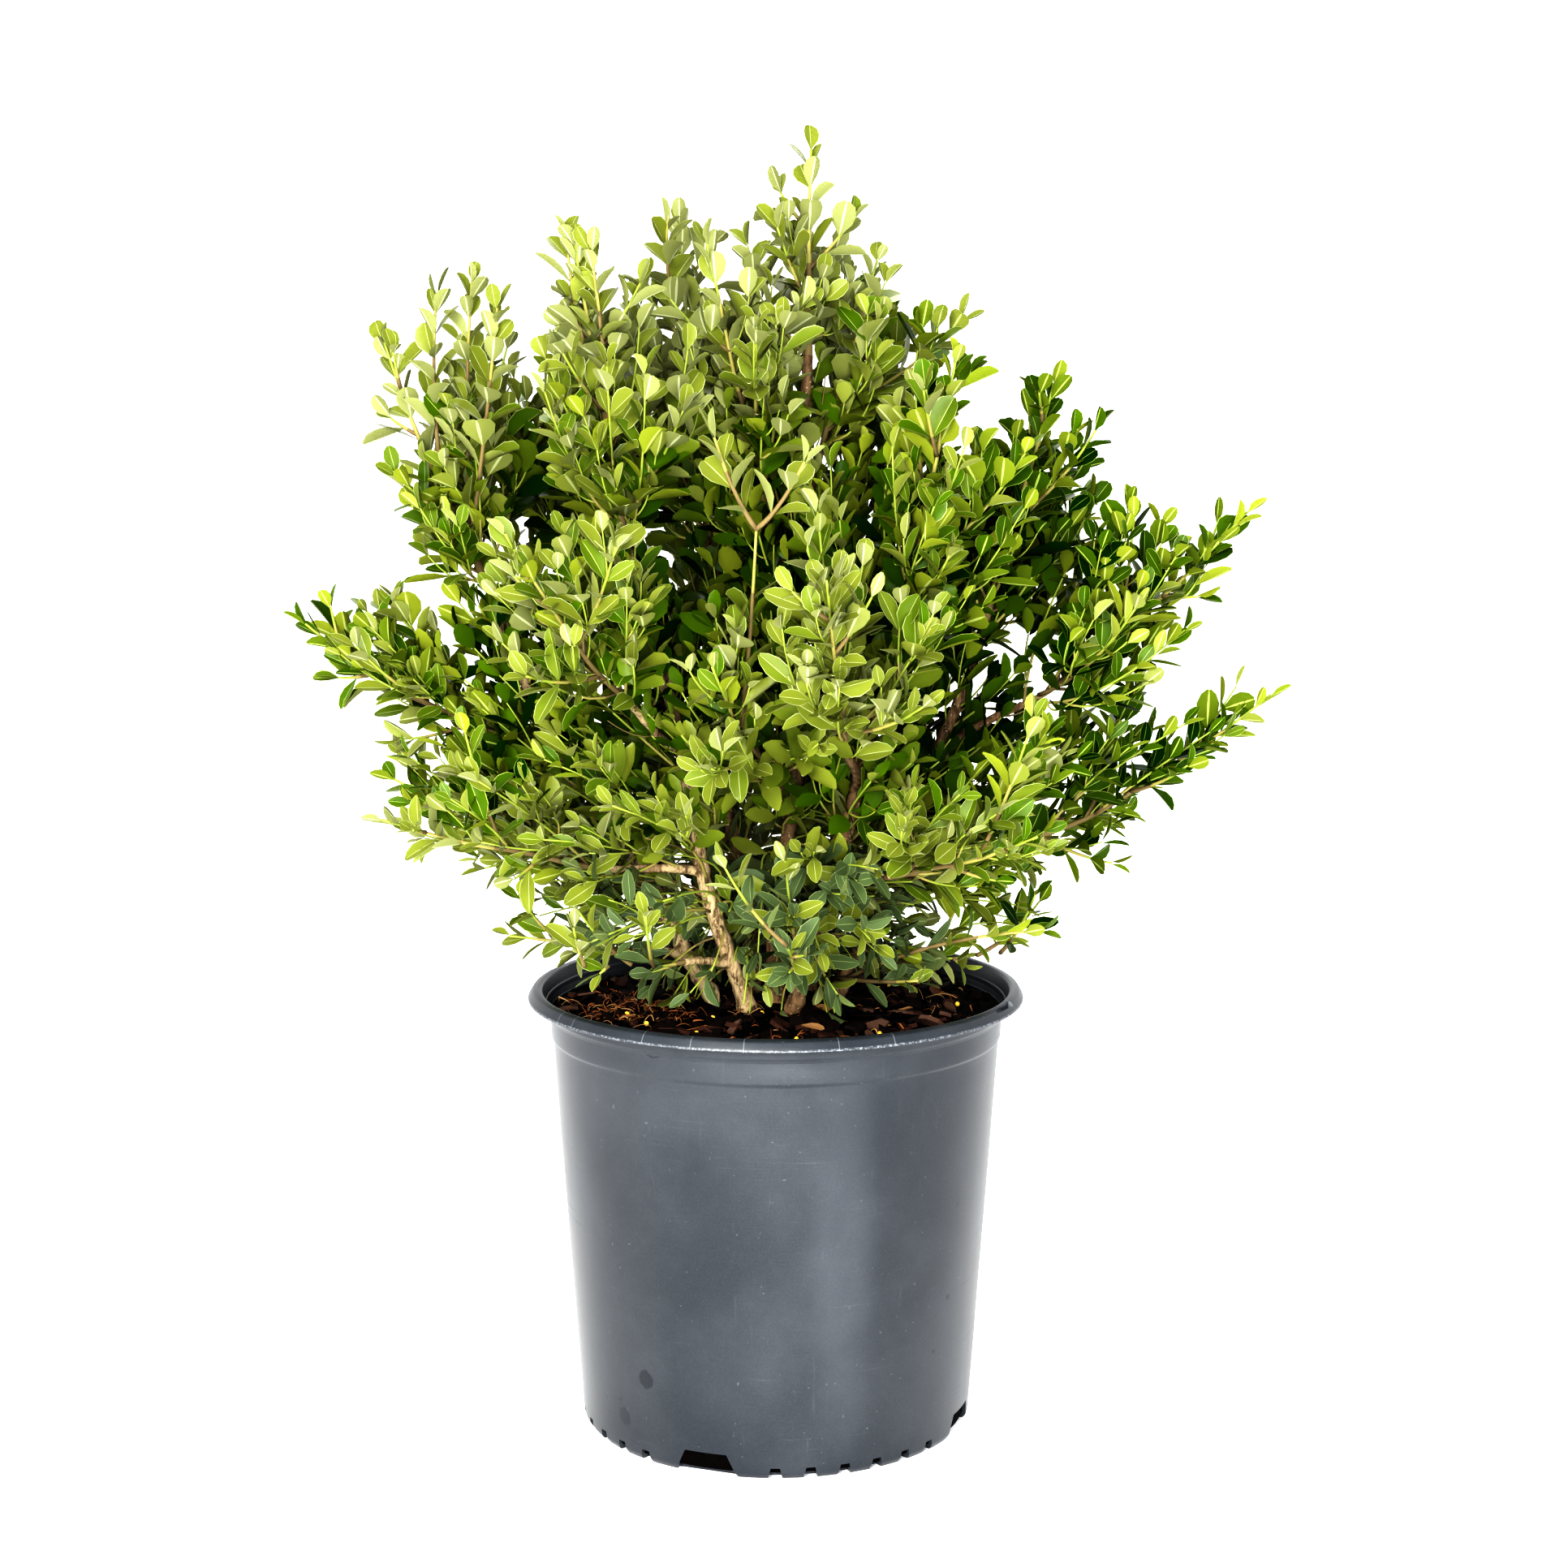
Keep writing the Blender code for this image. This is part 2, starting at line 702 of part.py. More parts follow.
def fuse(name, stem, pieces, materials):
    """One Boolean union of a mass's stem with its twigs and leaves, applied."""
    parts = bpy.data.collections.new(name + "_parts")
    bpy.context.scene.collection.children.link(parts)
    for number, (shape, material) in enumerate(pieces):
        add_mesh(f"{name}_part_{number}", *shape, material, parts)
    thing = add_mesh(name, *stem, materials[0])
    thing.data.materials.append(materials[1])
    join = thing.modifiers.new("fuse", "BOOLEAN")
    join.operation = "UNION"
    join.operand_type = "COLLECTION"
    join.collection = parts
    join.solver = "MANIFOLD"
    bpy.context.view_layer.update()
    graph = bpy.context.evaluated_depsgraph_get()
    fused = bpy.data.meshes.new_from_object(thing.evaluated_get(graph))
    keep_main_shell(fused)
    thing.modifiers.clear()
    thing.data = fused
    for part in list(parts.objects):
        bpy.data.objects.remove(part, do_unlink=True)
    bpy.data.collections.remove(parts)
    return thing


def make_mass(limb, space, wood, leaf):
    """One mass of foliage: its leafy stem with twigs and leaves fused on."""
    path = spray_path(limb)
    twigs = twigs_of(path, space)
    stem = tube(path, taper(SPRAY_RADIUS, len(path)), TWIG_SIDES, start_way=heading(limb))
    branches = [(tube(twig, taper(TWIG_RADIUS, len(twig)), TWIG_SIDES), wood) for twig in twigs]
    for attempt in range(ATTEMPTS):
        draw = random.Random(LEAF_SEED + space.index + ATTEMPT_STEP * attempt)
        leaves = leaves_along(path, SPRAY_PAIRS, draw, space)
        for twig in twigs:
            leaves += leaves_along(twig, TWIG_PAIRS, draw, space)
        pieces = branches + [(shape, leaf) for shape in leaves]
        thing = fuse("foliage_" + limb["mass"], stem, pieces, (wood, leaf))
        if is_sound(thing.data):
            return
        bpy.data.objects.remove(thing, do_unlink=True)
    raise RuntimeError("no sound union for " + limb["mass"])


def main():
    clear_scene()
    plastic = finish("pot_plastic", (0.075, 0.090, 0.105), 0.5)
    mulch = finish("bark_mulch", (0.060, 0.032, 0.018), 0.95)
    bark = finish("boxwood_bark", (0.420, 0.320, 0.190), 0.85)
    leaf = finish("boxwood_leaf", (0.110, 0.230, 0.035), 0.45)
    make_pot(plastic)
    make_soil(mulch)
    limbs = plan_limbs()
    sites = end_limbs(limbs)
    make_limbs(limbs, bark)
    runs = runs_of(limbs)
    for index, limb in enumerate(limbs):
        make_mass(limb, Space(limbs, sites, runs, index), bark, leaf)


main()
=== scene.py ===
"""A potted boxwood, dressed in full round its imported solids.

Stems, boughs, twigs, leaves, pot and soil are surfaces worked out with numpy and laid over the
frame's solids. The limbs and the masses of foliage grow by the solids' own rule and sizes, and
are carried on here to finer shoots and leaves of real size. Metres, +Z up; the front faces -Y.
"""

import math
import random

import bpy
import numpy as np
from mathutils import Matrix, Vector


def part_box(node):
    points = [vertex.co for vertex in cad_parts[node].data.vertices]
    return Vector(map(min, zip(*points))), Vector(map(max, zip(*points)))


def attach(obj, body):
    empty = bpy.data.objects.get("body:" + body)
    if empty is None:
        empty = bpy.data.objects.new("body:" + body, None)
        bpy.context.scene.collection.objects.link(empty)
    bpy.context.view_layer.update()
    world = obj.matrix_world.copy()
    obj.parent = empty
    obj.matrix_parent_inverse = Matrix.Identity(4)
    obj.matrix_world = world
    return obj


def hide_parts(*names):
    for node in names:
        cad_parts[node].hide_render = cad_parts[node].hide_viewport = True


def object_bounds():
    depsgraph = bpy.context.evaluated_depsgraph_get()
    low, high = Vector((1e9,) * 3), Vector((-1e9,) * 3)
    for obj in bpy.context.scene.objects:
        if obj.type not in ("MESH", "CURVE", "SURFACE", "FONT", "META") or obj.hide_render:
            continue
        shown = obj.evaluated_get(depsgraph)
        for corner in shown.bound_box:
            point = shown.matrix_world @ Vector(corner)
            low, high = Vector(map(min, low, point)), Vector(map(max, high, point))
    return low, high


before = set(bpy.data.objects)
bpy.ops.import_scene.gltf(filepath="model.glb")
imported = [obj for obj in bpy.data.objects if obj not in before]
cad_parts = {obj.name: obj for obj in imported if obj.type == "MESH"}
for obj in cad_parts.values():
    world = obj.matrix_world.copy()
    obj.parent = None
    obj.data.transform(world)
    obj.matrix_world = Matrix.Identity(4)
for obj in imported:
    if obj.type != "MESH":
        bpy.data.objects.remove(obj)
CAD_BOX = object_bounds()
POT_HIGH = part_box("pot")[1]
SOIL_LOW, SOIL_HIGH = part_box("soil")

bl_info = {
    "name": "Potted Boxwood",
    "version": (1, 0, 0),
    "blender": (4, 5, 0),
    "location": "View3D > Sidebar > Boxwood",
    "description": "Dresses the solids of a potted boxwood with pot, soil, bark, twigs and leaves",
    "category": "Add Mesh",
}

# The pot's section
RIM_WIDTH = 0.008
LIP_DROP = 0.0055
LIP_EDGE = 0.0009
BASE_RADIUS = 0.1105
WALL_TOP_RADIUS = 0.1262
COLLAR_HEIGHT = 0.028
COLLAR_STEP = 0.0011
NECK_HEIGHT = 0.014
WALL = 0.0022
FLOOR = 0.0030
CORNER = 0.0030
ROUNDING = 0.0010
ROUNDING_STEPS = 4
ROUNDING_SHARE = 0.45
POT_TURNS = 288
POT_ROW = 0.006
WOBBLE = 0.00025
WOBBLE_SIZE = 0.11

# Cuts in the pot. Drains and the notches between them: width, width on top, height. Slots in
# the rim: length, width, depth
DRAINS = 4
DRAIN_TURN = -20.0
DRAIN_SIZE = (0.036, 0.024, 0.013)
NOTCHES = 6
NOTCH_STEP = 10.0
NOTCH_SIZE = (0.0080, 0.0050, 0.0065)
CUT_DEPTH = 0.007
RIM_SLOTS = (-112.0, 66.0)
SLOT_SIZE = (0.024, 0.0030, 0.0040)

# Wear on the pot, and a painted highlight. Fine nicks across the rim: azimuth, and half their
# width where they fade. Soft lighter patches, and darker ones: middle, reach along each axis,
# strength; the lighter ones are dust, but the first is a painted highlight, the soft reflection
# of a tall light right of the front. Stains and nicks on the wall: middle, radius
NICK_HALVES = (0.00010, 0.00032)
RIM_NICKS = (-57.4, -51.6, -30.1, -18.5, -6.7, 13.9, 26.8, 71.0, 118.0, 163.0, -141.0, -98.0)
POT_DUST_AND_HIGHLIGHT = (
    # Painted highlight: a tall soft reflection on the front, right of the middle, in the dust colour
    ((0.036, -0.112, 0.130), (0.024, 0.040, 0.150), 0.30),
    ((-0.020, -0.115, 0.060), (0.050, 0.040, 0.050), 0.16),
    ((0.030, 0.112, 0.120), (0.050, 0.040, 0.110), 0.25),
    ((-0.110, 0.030, 0.150), (0.040, 0.050, 0.090), 0.20),
)
POT_SHADES = (
    ((-0.030, -0.115, 0.178), (0.040, 0.040, 0.022), 0.22),
    ((0.115, -0.020, 0.140), (0.040, 0.050, 0.060), 0.18),
    ((-0.080, 0.085, 0.090), (0.050, 0.050, 0.050), 0.22),
)
POT_MARKS = (
    ((-0.0701, -0.0898, 0.0488), 0.0052),
    ((-0.0831, -0.0752, 0.0223), 0.0048),
    ((0.1000, -0.0672, 0.1407), 0.0016),
    ((0.0950, -0.0678, 0.0882), 0.0018),
    ((0.0868, -0.0750, 0.0595), 0.0011),
    ((-0.0853, -0.0736, 0.0315), 0.0011),
    ((0.0550, 0.1030, 0.1100), 0.0040),
    ((-0.0600, 0.1010, 0.1600), 0.0014),
)

# The soil and what lies on it
SOIL_TOP = 0.2395
SOIL_EDGE = 0.2365
MOUND_RADIUS = 0.070
GAP = 0.0003
SOIL_TURNS = 200
SOIL_ROWS = 70
SOIL_SEED = 5000
SHRED_HEAP = (-0.082, -0.022)
FALLEN_PLACE = (0.0196, -0.0755)
# How far out each kind lies and may reach, then its least size and how much more. Beads and
# fallen leaves share a bed, and the beads' radii are the least and the most
CHIP_BED = 0.121
CHIP_REACH = 0.1245
CHIP_LENGTH = (0.0035, 0.0105)
CHIP_THICKNESS = (0.0004, 0.0009)
CRUMB_BED = 0.1235
CRUMB_RADIUS = (0.0005, 0.0013)
SHRED_BED = 0.118
SHRED_REACH = 0.1225
SHRED_LENGTH = (0.004, 0.014)
SHRED_RADIUS = (0.00022, 0.00042)
BEAD_BED = 0.112
BEAD_RADII = (0.0011, 0.0017)

# Limbs, as in the solids
STEM_RADII = (0.0046, 0.0027)
BOUGH_RADII = (0.0026, 0.0018)
FLARE = 1.5
FLARE_TOP = 0.4
STEM_POINTS = 8
BOUGH_POINTS = 4
SPRAY_POINTS = 5
TWIG_POINTS = 3
TWIG_RADIUS = 0.0015

# Each stem: azimuth in degrees, reach of its foot, then its masses of foliage, its own first:
# share of the stem where the bough leaves, azimuth, reach and height of the tip
STEMS = {
    "left": (-95.0, 0.034, {
        "high": (1.0, -95.0, 0.226, 0.622),
        "mid": (0.40, -94.0, 0.279, 0.456),
        "low": (0.22, -99.0, 0.244, 0.368),
        "foot": (0.07, -88.0, 0.165, 0.280),
    }),
    "front_left": (-38.0, 0.026, {
        "high": (1.0, -56.0, 0.130, 0.672),
        "mid": (0.36, -39.0, 0.222, 0.520),
        "low": (0.20, -64.0, 0.245, 0.362),
        "foot": (0.07, -46.0, 0.176, 0.285),
    }),
    "front_right": (22.0, 0.026, {
        "high": (1.0, 49.0, 0.132, 0.624),
        "mid": (0.36, 6.0, 0.226, 0.500),
        "low": (0.22, 39.0, 0.224, 0.363),
        "foot": (0.07, 0.0, 0.180, 0.325),
    }),
    "right": (84.0, 0.032, {
        "high": (1.0, 90.0, 0.160, 0.606),
        "mid": (0.42, 85.0, 0.270, 0.524),
        "low": (0.20, 90.0, 0.290, 0.418),
        "foot": (0.06, 80.0, 0.160, 0.276),
    }),
    "back_right": (142.0, 0.030, {
        "high": (1.0, 142.0, 0.118, 0.678),
        "mid": (0.36, 130.0, 0.262, 0.550),
        "low": (0.20, 112.0, 0.240, 0.335),
        "foot": (0.07, 152.0, 0.190, 0.300),
    }),
    "back_left": (-154.0, 0.030, {
        "high": (1.0, -148.0, 0.108, 0.692),
        "mid": (0.42, -126.0, 0.244, 0.620),
        "back": (0.30, -173.0, 0.246, 0.500),
        "low": (0.20, -122.0, 0.250, 0.310),
        "foot": (0.07, -168.0, 0.190, 0.305),
    }),
    "middle": (20.0, 0.004, {
        "top": (1.0, 90.0, 0.020, 0.727),
        "left": (0.50, -32.0, 0.074, 0.672),
        "right": (0.56, 112.0, 0.070, 0.682),
        "front": (0.26, -12.0, 0.168, 0.450),
    }),
}
STEM_BOW = 0.15
BOUGH_BOW = 0.16
BOUGH_RISE = 0.006
WANDER = 0.012
WAVES = 2.0
LIMB_SEED = 300
STEM_SITE = 0.82
BOUGH_SITE = 0.66
ENTRY_SHARE = 0.30
ENTRY_STEPS = 41

# The space of a mass and its side twigs, as in the solids
HEART = np.array((0.0, 0.0, 0.43))
SHOULDER = 0.30
LEAF_REACH = 0.024
REACH_SLACK = 0.014
SPACE_MARGIN = 0.0010
CLEARANCE = 0.0030
RIM_CLEARANCE = 0.008
UNDERSIDE_SLOPE = 0.50
TWIGS = 5
TWIG_SHARES = (0.06, 0.86)
TWIG_LENGTH = 0.110
TWIG_FALL = 0.40
TWIG_SHORTEST = 0.030
TWIG_CUT = 0.86
TWIG_INSET = 0.022
TWIG_LEAN = math.radians(48.0)
TWIG_OUT = 0.88
TWIG_RISE = 0.28
GOLDEN_TURN = math.radians(137.5)
TURN_SPREAD = 0.30
LEAN_SPREAD = 0.12
LENGTH_SPREAD = 0.15
TWIG_SEED = 4100

# The crown's skin: how its domes fall away, and how far they are drawn out or in
SPIRE_WIDTH = 0.034
SPIRE_SLOPE = 1.35
DOME_SLOPE = 0.40
SKIRT_RADIUS = 0.100
SKIRT_TOP = 0.36
FINE_SLACK = 0.008
REACH_CHANGES = {
    "middle_right": -0.046,
    "back_right_high": -0.032,
    "front_right_high": -0.040,
    "right_high": -0.008,
    "middle_left": -0.006,
    "left_high": 0.002,
    "left_mid": 0.006,
    "middle_top": -0.004,
    "right_foot": -0.036,
}
# Domes between masses: azimuth, reach and height of the tip
FILLS = (
    (-93.0, 0.256, 0.545),
    (-80.0, 0.262, 0.350),
    (-74.0, 0.232, 0.310),
    (95.0, 0.262, 0.470),
    (-80.0, 0.180, 0.668),
    (64.0, 0.172, 0.300),
    (-74.0, 0.166, 0.668),
    (-62.0, 0.140, 0.690),
)

# Finer wood, which only the dressed plant has, in the order it grows. Each kind: what it grows
# from and between which shares of it, the step between shoots, their length and the least,
# their lean, how far inside the skin they end and how much further high up, how many may share
# a cell, and whether they shorten towards the parent's tip
SHOOTS = {
    "long": {
        "from": (("spray", 0.0, 0.86), ("twigs", 0.10, 0.86), ("wood", 0.0, 1.0)),
        "step": 0.0045, "length": (0.085, 0.145), "least": 0.066, "lean": 48.0,
        "inset": (0.010, 0.036), "sunk": 0.0, "crowd": 1, "shorten": True,
    },
    "middle": {
        "from": [(parent, 0.10, 0.88) for parent in ("spray", "wood", "twigs", "long")],
        "step": 0.0060, "length": (0.045, 0.085), "least": 0.034, "lean": 46.0,
        "inset": (0.012, 0.056), "sunk": 0.014, "crowd": 1, "shorten": True,
    },
    "short": {
        "from": [(parent, 0.12, 0.86) for parent in ("spray", "wood", "twigs", "long", "middle")],
        "step": 0.0100, "length": (0.022, 0.042), "least": 0.018, "lean": 44.0,
        "inset": (0.014, 0.066), "sunk": 0.015, "crowd": 2, "shorten": True,
    },
    "bare": {
        "from": (("wood", 0.0, 1.0),),
        "step": 0.0300, "length": (0.030, 0.070), "least": 0.020, "lean": 52.0,
        "inset": (0.050, 0.070), "sunk": 0.0, "crowd": 3, "shorten": True,
    },
    "low": {
        "from": (("foot", 0.0, 1.0),),
        "step": 0.0070, "length": (0.040, 0.075), "least": 0.028, "lean": 74.0,
        "inset": (0.002, 0.030), "sunk": 0.0, "crowd": 3, "shorten": False,
    },
}
# All wood beyond the limbs: sides of its tubes, radii at foot and tip, age of its bark from
# foot to tip, and for the leafy kinds the share where leaves begin and how many of the first
# ones are gone. A spray starts at its limb's radius, and a stray has its share in its own row
WOOD = {
    "spray": (7, None, (0, 0, 0, 1, 1, 2), 0.12, 0.40),
    "twigs": (6, (0.00135, 0.00060), (0, 0, 1, 1, 2, 2), 0.12, 0.25),
    "long": (5, (0.00100, 0.00048), (0, 1, 1, 2, 2, 2), 0.18, 0.25),
    "middle": (5, (0.00085, 0.00045), (1, 1, 2, 2, 2, 2), 0.16, 0.10),
    "short": (4, (0.00070, 0.00042), (1, 2, 2, 2, 2, 2), 0.20, 0.0),
    "low": (5, (0.00090, 0.00045), (0, 0, 0, 1, 1, 2), 0.20, 0.0),
    "bare": (4, (0.00062, 0.00030), (0, 0, 0, 0, 0, 0), None, None),
    "stray": (6, (0.00155, 0.00075), (0, 0, 0, 0, 1, 1), None, None),
}
SPRAY_START = 0.015
SPRAY_END_RADIUS = 0.0007
LOW_SHARES = (0.02, 0.20)
SUNK_HEIGHTS = (0.44, 0.58)
TIP_GAIN = 0.009
TIP_SHARE = 0.60
TIP_LEAST = 0.016
ROOM_CELL = 0.025
FULLER_PLACE, FULLER_RADIUS = (-0.185, -0.02, 0.430), 0.065
GROWTH_HEART = 0.34
GROWTH_HEIGHTS = (0.26, 0.40, 0.54)
GROWTH_RISES = (0.15, 0.80, 2.80)
SHOOT_WAY = 0.35
SHOOT_STRAY = 0.12
KNEE_SHARE = 0.36
FINE_SHARES = np.linspace(0.0, 1.0, 8)
FINE_CUT = 0.86
FINE_SEED = 6100
WOOD_CLEARANCE = 0.0015
WOOD_INSET = 0.014
# Shoots with a place of their own: mass, start, knee, tip, share of their length without leaves
STRAYS = (
    ("right_high", (0.036, -0.006, 0.252), (0.085, -0.052, 0.288), (0.1430, -0.070, 0.294), 0.30),
    ("right_high", (0.034, -0.005, 0.254), (0.060, -0.040, 0.258), (0.0780, -0.058, 0.264), 0.20),
    ("left_high", (-0.1854, 0.0166, 0.5263), (-0.190, -0.004, 0.580), (-0.1830, -0.018, 0.6340), 0.25),
    ("left_high", (-0.1709, 0.0161, 0.4959), (-0.172, 0.000, 0.570), (-0.1650, -0.008, 0.6410), 0.30),
    ("left_high", (-0.1709, 0.0161, 0.4959), (-0.156, -0.030, 0.560), (-0.1480, -0.040, 0.6260), 0.30),
    ("front_left_high", (-0.0917, -0.0632, 0.5817), (-0.106, -0.066, 0.615), (-0.1090, -0.060, 0.6620), 0.20),
    ("front_left_high", (-0.0874, -0.0613, 0.5523), (-0.088, -0.074, 0.600), (-0.0950, -0.080, 0.6540), 0.25),
    ("back_left_high", (-0.0510, 0.0812, 0.5985), (-0.066, 0.060, 0.650), (-0.0600, 0.052, 0.6800), 0.20),
    ("middle_front", (-0.018, -0.1031, 0.4057), (-0.012, -0.128, 0.455), (-0.0092, -0.140, 0.5148), 0.50),
    ("middle_front", (-0.0092, -0.140, 0.5140), (-0.020, -0.146, 0.528), (-0.0300, -0.150, 0.5600), 0.12),
    ("middle_front", (-0.0092, -0.140, 0.5140), (0.002, -0.146, 0.522), (0.0150, -0.152, 0.5480), 0.12),
)
# Where leaves leave a stem in view: its x and height at the foot, its slope, the height up to
# which it shows, the half width, and how far forward the leaves are that give way
WINDOWS = (
    (-0.017, 0.240, -0.29, 0.350, 0.0075, -0.030),
    (-0.040, 0.250, -0.68, 0.320, 0.0060, 0.000),
    (-0.0124, 0.488, 0.08, 0.520, 0.0060, -0.120),
)

# A leaf's outline: shares of its length, its half width there if long or round, the columns
# across its upper side and its underside, and the part that each face between is. Leaves this
# deep in the crown take the plain one
FULL_LEAF = {
    "u": (0.0, 0.13, 0.36, 0.62, 0.86, 1.0),
    "long": (0.09, 0.38, 0.91, 0.97, 0.62, 0.14),
    "round": (0.08, 0.34, 0.84, 1.0, 0.80, 0.22),
    "upper": (-1.0, -0.94, -0.032, 0.032, 0.94, 1.0),
    "lower": (-0.10, 0.10),
    "parts": ((1, 0, 1, 0, 1), (2, 3, 2)),
}
PLAIN_LEAF = {
    "u": (0.0, 0.22, 0.54, 0.84, 1.0),
    "long": (0.11, 0.66, 1.0, 0.66, 0.16),
    "round": (0.10, 0.56, 1.0, 0.84, 0.24),
    "upper": (-1.0, 0.0, 1.0),
    "lower": (0.0,),
    "parts": ((0, 0), (2, 2)),
}
OUTER_DEPTH = 0.086
LEAF_SLACK = 0.006
STRAY_SLACK = 0.030
LEAF_CLEARANCE = 0.0006
LEAF_SEED = 8200
LEAF_TESTS = np.array((0.35, 0.7, 1.0))
# A pair of leaves: how far off the shoot it starts, how far it turns on from the last one, and
# how far it leans off the shoot, in degrees, and closes up at the tip
STALK = 0.0008
PAIR_TURN = np.pi / 2 + 0.06
LEAF_LEAN = 50.0
LEAF_CLOSING = 24.0

# Colour classes of the leaves, from new to old, and the dusty low ones; the classes also serve
# as painted light and shade. At these heights in the crown: how much lighter they are painted
# near its middle, as painted light, how much darker with depth, as painted shade, how much
# darker to the right, as painted shade, and how much more beyond the middle
TONES = 7
DUSTY = TONES
DUSTY_TOP = 0.19
DUSTY_SHARE = 0.64
TONE_HEIGHTS = (0.2, 0.35, 0.5, 0.7)
TONE_MIDDLE_LIGHT = (1.10, 0.62, 0.28, 0.74)
TONE_DEPTH_SHADE = (5.4, 5.4, 4.6, 3.1)
SIDE_HEIGHTS = (0.3, 0.45, 0.6, 0.75)
SIDE_SHADE_SLOPE = (1.1, 0.35, 1.3, 3.3)
RIGHT_SHADE = (1.0, -0.4, 1.0, 1.5)
# The tone to start from, how much newer it is at a tip and darker higher up, and how much it
# differs from shoot to shoot and from leaf to leaf
TONE_START = 0.475
TONE_TIP = 0.12
TONE_RISE = 0.06
TONE_SHOOT = 0.16
TONE_LEAF = 0.12

# Fine relief: its noise, then its depth and strength
CHIP_RELIEF = ((420.0, 5.0, 0.7, (1.0, 0.35, 1.0)), 0.0007, 0.8)
TWIG_RELIEF = ((800.0, 3.0, 0.6, (1.0, 1.0, 0.3)), 0.0003, 0.6)
LEAF_RELIEF = ((520.0, 3.0, 0.6), 0.00015, 0.5)

# Stems with the paler bark; the others take a darker bark, a painted shade on the stems behind
# the foliage. And how far the bark of each stem goes on into the soil
TAN_STEMS = ("left", "front_left")
STEM_SUNK = 0.004

# The camera that saw the plant
CAMERA_PLACE = (0.0047, -1.531, 0.589)
CAMERA_PITCH = 0.146
CAMERA_LENS = 63.35
CAMERA_SENSOR = 36.0

# The floor's half width, and each soft light: place, height that it faces, size, colour
FLOOR_REACH = 9.0
LIGHTS = {
    "key": ((-0.80, -2.2, 1.25), 0.45, 1.2, (1.0, 0.985, 0.95)),
    "fill": ((0.35, -2.3, 0.40), 0.40, 1.0, (0.96, 0.98, 1.0)),
    "back": ((0.40, 1.9, 2.30), 0.45, 1.6, (1.0, 1.0, 1.0)),
}


# Numbers and shapes


def unit(vectors):
    """The vectors at length one, along the last axis."""
    return vectors / np.linalg.norm(vectors, axis=-1, keepdims=True)


def upright(height):
    """A vector straight up."""
    return np.array((0.0, 0.0, height))


def polar(azimuth, reach, height):
    """A point from its azimuth, its reach from the pot's axis and its height."""
    angle = math.radians(azimuth)
    return np.array((reach * math.sin(angle), -reach * math.cos(angle), height))


def spread(ways, amounts):
    """Each way times every amount in its row."""
    return ways[:, None] * amounts[..., None]


def ripples(points, size, seed, waves=14):
    """Smooth unevenness of about this size, mostly from -1 to 1: the sum of sines of plane
    waves that run in random directions, over the root of their number."""
    draw = np.random.default_rng(seed)
    ways = unit(draw.normal(size=(waves, 3))) / (size * draw.uniform(0.6, 1.7, (waves, 1)))
    phases = draw.uniform(0.0, 2 * np.pi, waves)
    return np.sin(2 * np.pi * points @ ways.T + phases).sum(-1) / math.sqrt(waves)


def bow(start, knee, end, shares):
    """Points of a quadratic curve from start to end, drawn towards knee."""
    t = np.asarray(shares, float)[..., None]
    return (1 - t) ** 2 * start + 2 * t * (1 - t) * knee + t**2 * end


def at_shares(row, knots, shares):
    """A row of vectors at the knots, read off in between at the shares."""
    return np.stack([np.interp(shares, knots, row[:, k]) for k in range(3)], axis=-1)


def grid_faces(rows, columns, wrap=False):
    """Quads between neighbouring rows and columns of a grid of points, row by row."""
    across = np.arange(columns if wrap else columns - 1)
    low = (np.arange(rows - 1) * columns)[:, None]
    one, two = low + across, low + (across + 1) % columns
    return np.stack((one, two, two + columns, one + columns), axis=-1).reshape(-1, 4)


def repeated(faces, count, step):
    """The same faces for each of a number of like shapes, one after another in the points."""
    return (faces[None] + step * np.arange(count)[:, None, None]).reshape(-1, faces.shape[1])


def turned(section, turns):
    """A section turned about Z: a point at row i and turn a lies at radius(i) (cos a, sin a),
    height(i). The two ends lie on the axis as single points."""
    angles = 2 * np.pi * np.arange(turns) / turns
    rings = section[1:-1]
    x, y = rings[:, :1] * np.cos(angles), rings[:, :1] * np.sin(angles)
    grid = np.stack((x, y, np.broadcast_to(rings[:, 1:], x.shape)), axis=-1).reshape(-1, 3)
    points = np.concatenate((grid, (upright(section[0, 1]), upright(section[-1, 1]))))
    here = np.arange(turns)
    there = (here + 1) % turns
    top = len(grid) - turns
    first = np.stack((np.full(turns, len(grid)), there, here), axis=1)
    last = np.stack((top + here, top + there, np.full(turns, len(grid) + 1)), axis=1)
    return points, [grid_faces(len(rings), turns, wrap=True), first, last]


def tubes(paths, radii, sides):
    """Tapering tubes along many paths of equally many points. At row i and turn a a tube's
    surface is the path's point i, plus radius(i, a) times (one(i) cos a + two(i) sin a), where
    one and two are square to the path. Returns points, side faces and end faces."""
    count, rows = paths.shape[:2]
    tangents = unit(np.gradient(paths, axis=1))
    spare = np.where(np.abs(tangents[:, :1, 2:]) < 0.8, (0.0, 0.0, 1.0), (1.0, 0.0, 0.0))
    one = unit(np.cross(tangents, np.broadcast_to(spare, tangents.shape)))
    two = np.cross(tangents, one)
    turns = 2 * np.pi * np.arange(sides) / sides
    ring = one[:, :, None] * np.cos(turns)[:, None] + two[:, :, None] * np.sin(turns)[:, None]
    if radii.ndim == 2:
        radii = radii[:, :, None]
    points = (paths[:, :, None] + ring * radii[..., None]).reshape(-1, 3)
    walls = repeated(grid_faces(rows, sides, wrap=True), count, rows * sides)
    foot = np.arange(sides)[::-1][None]
    ends = np.concatenate((foot, foot[:, ::-1] + (rows - 1) * sides))
    return points, walls, repeated(ends, count, rows * sides)


# Pieces


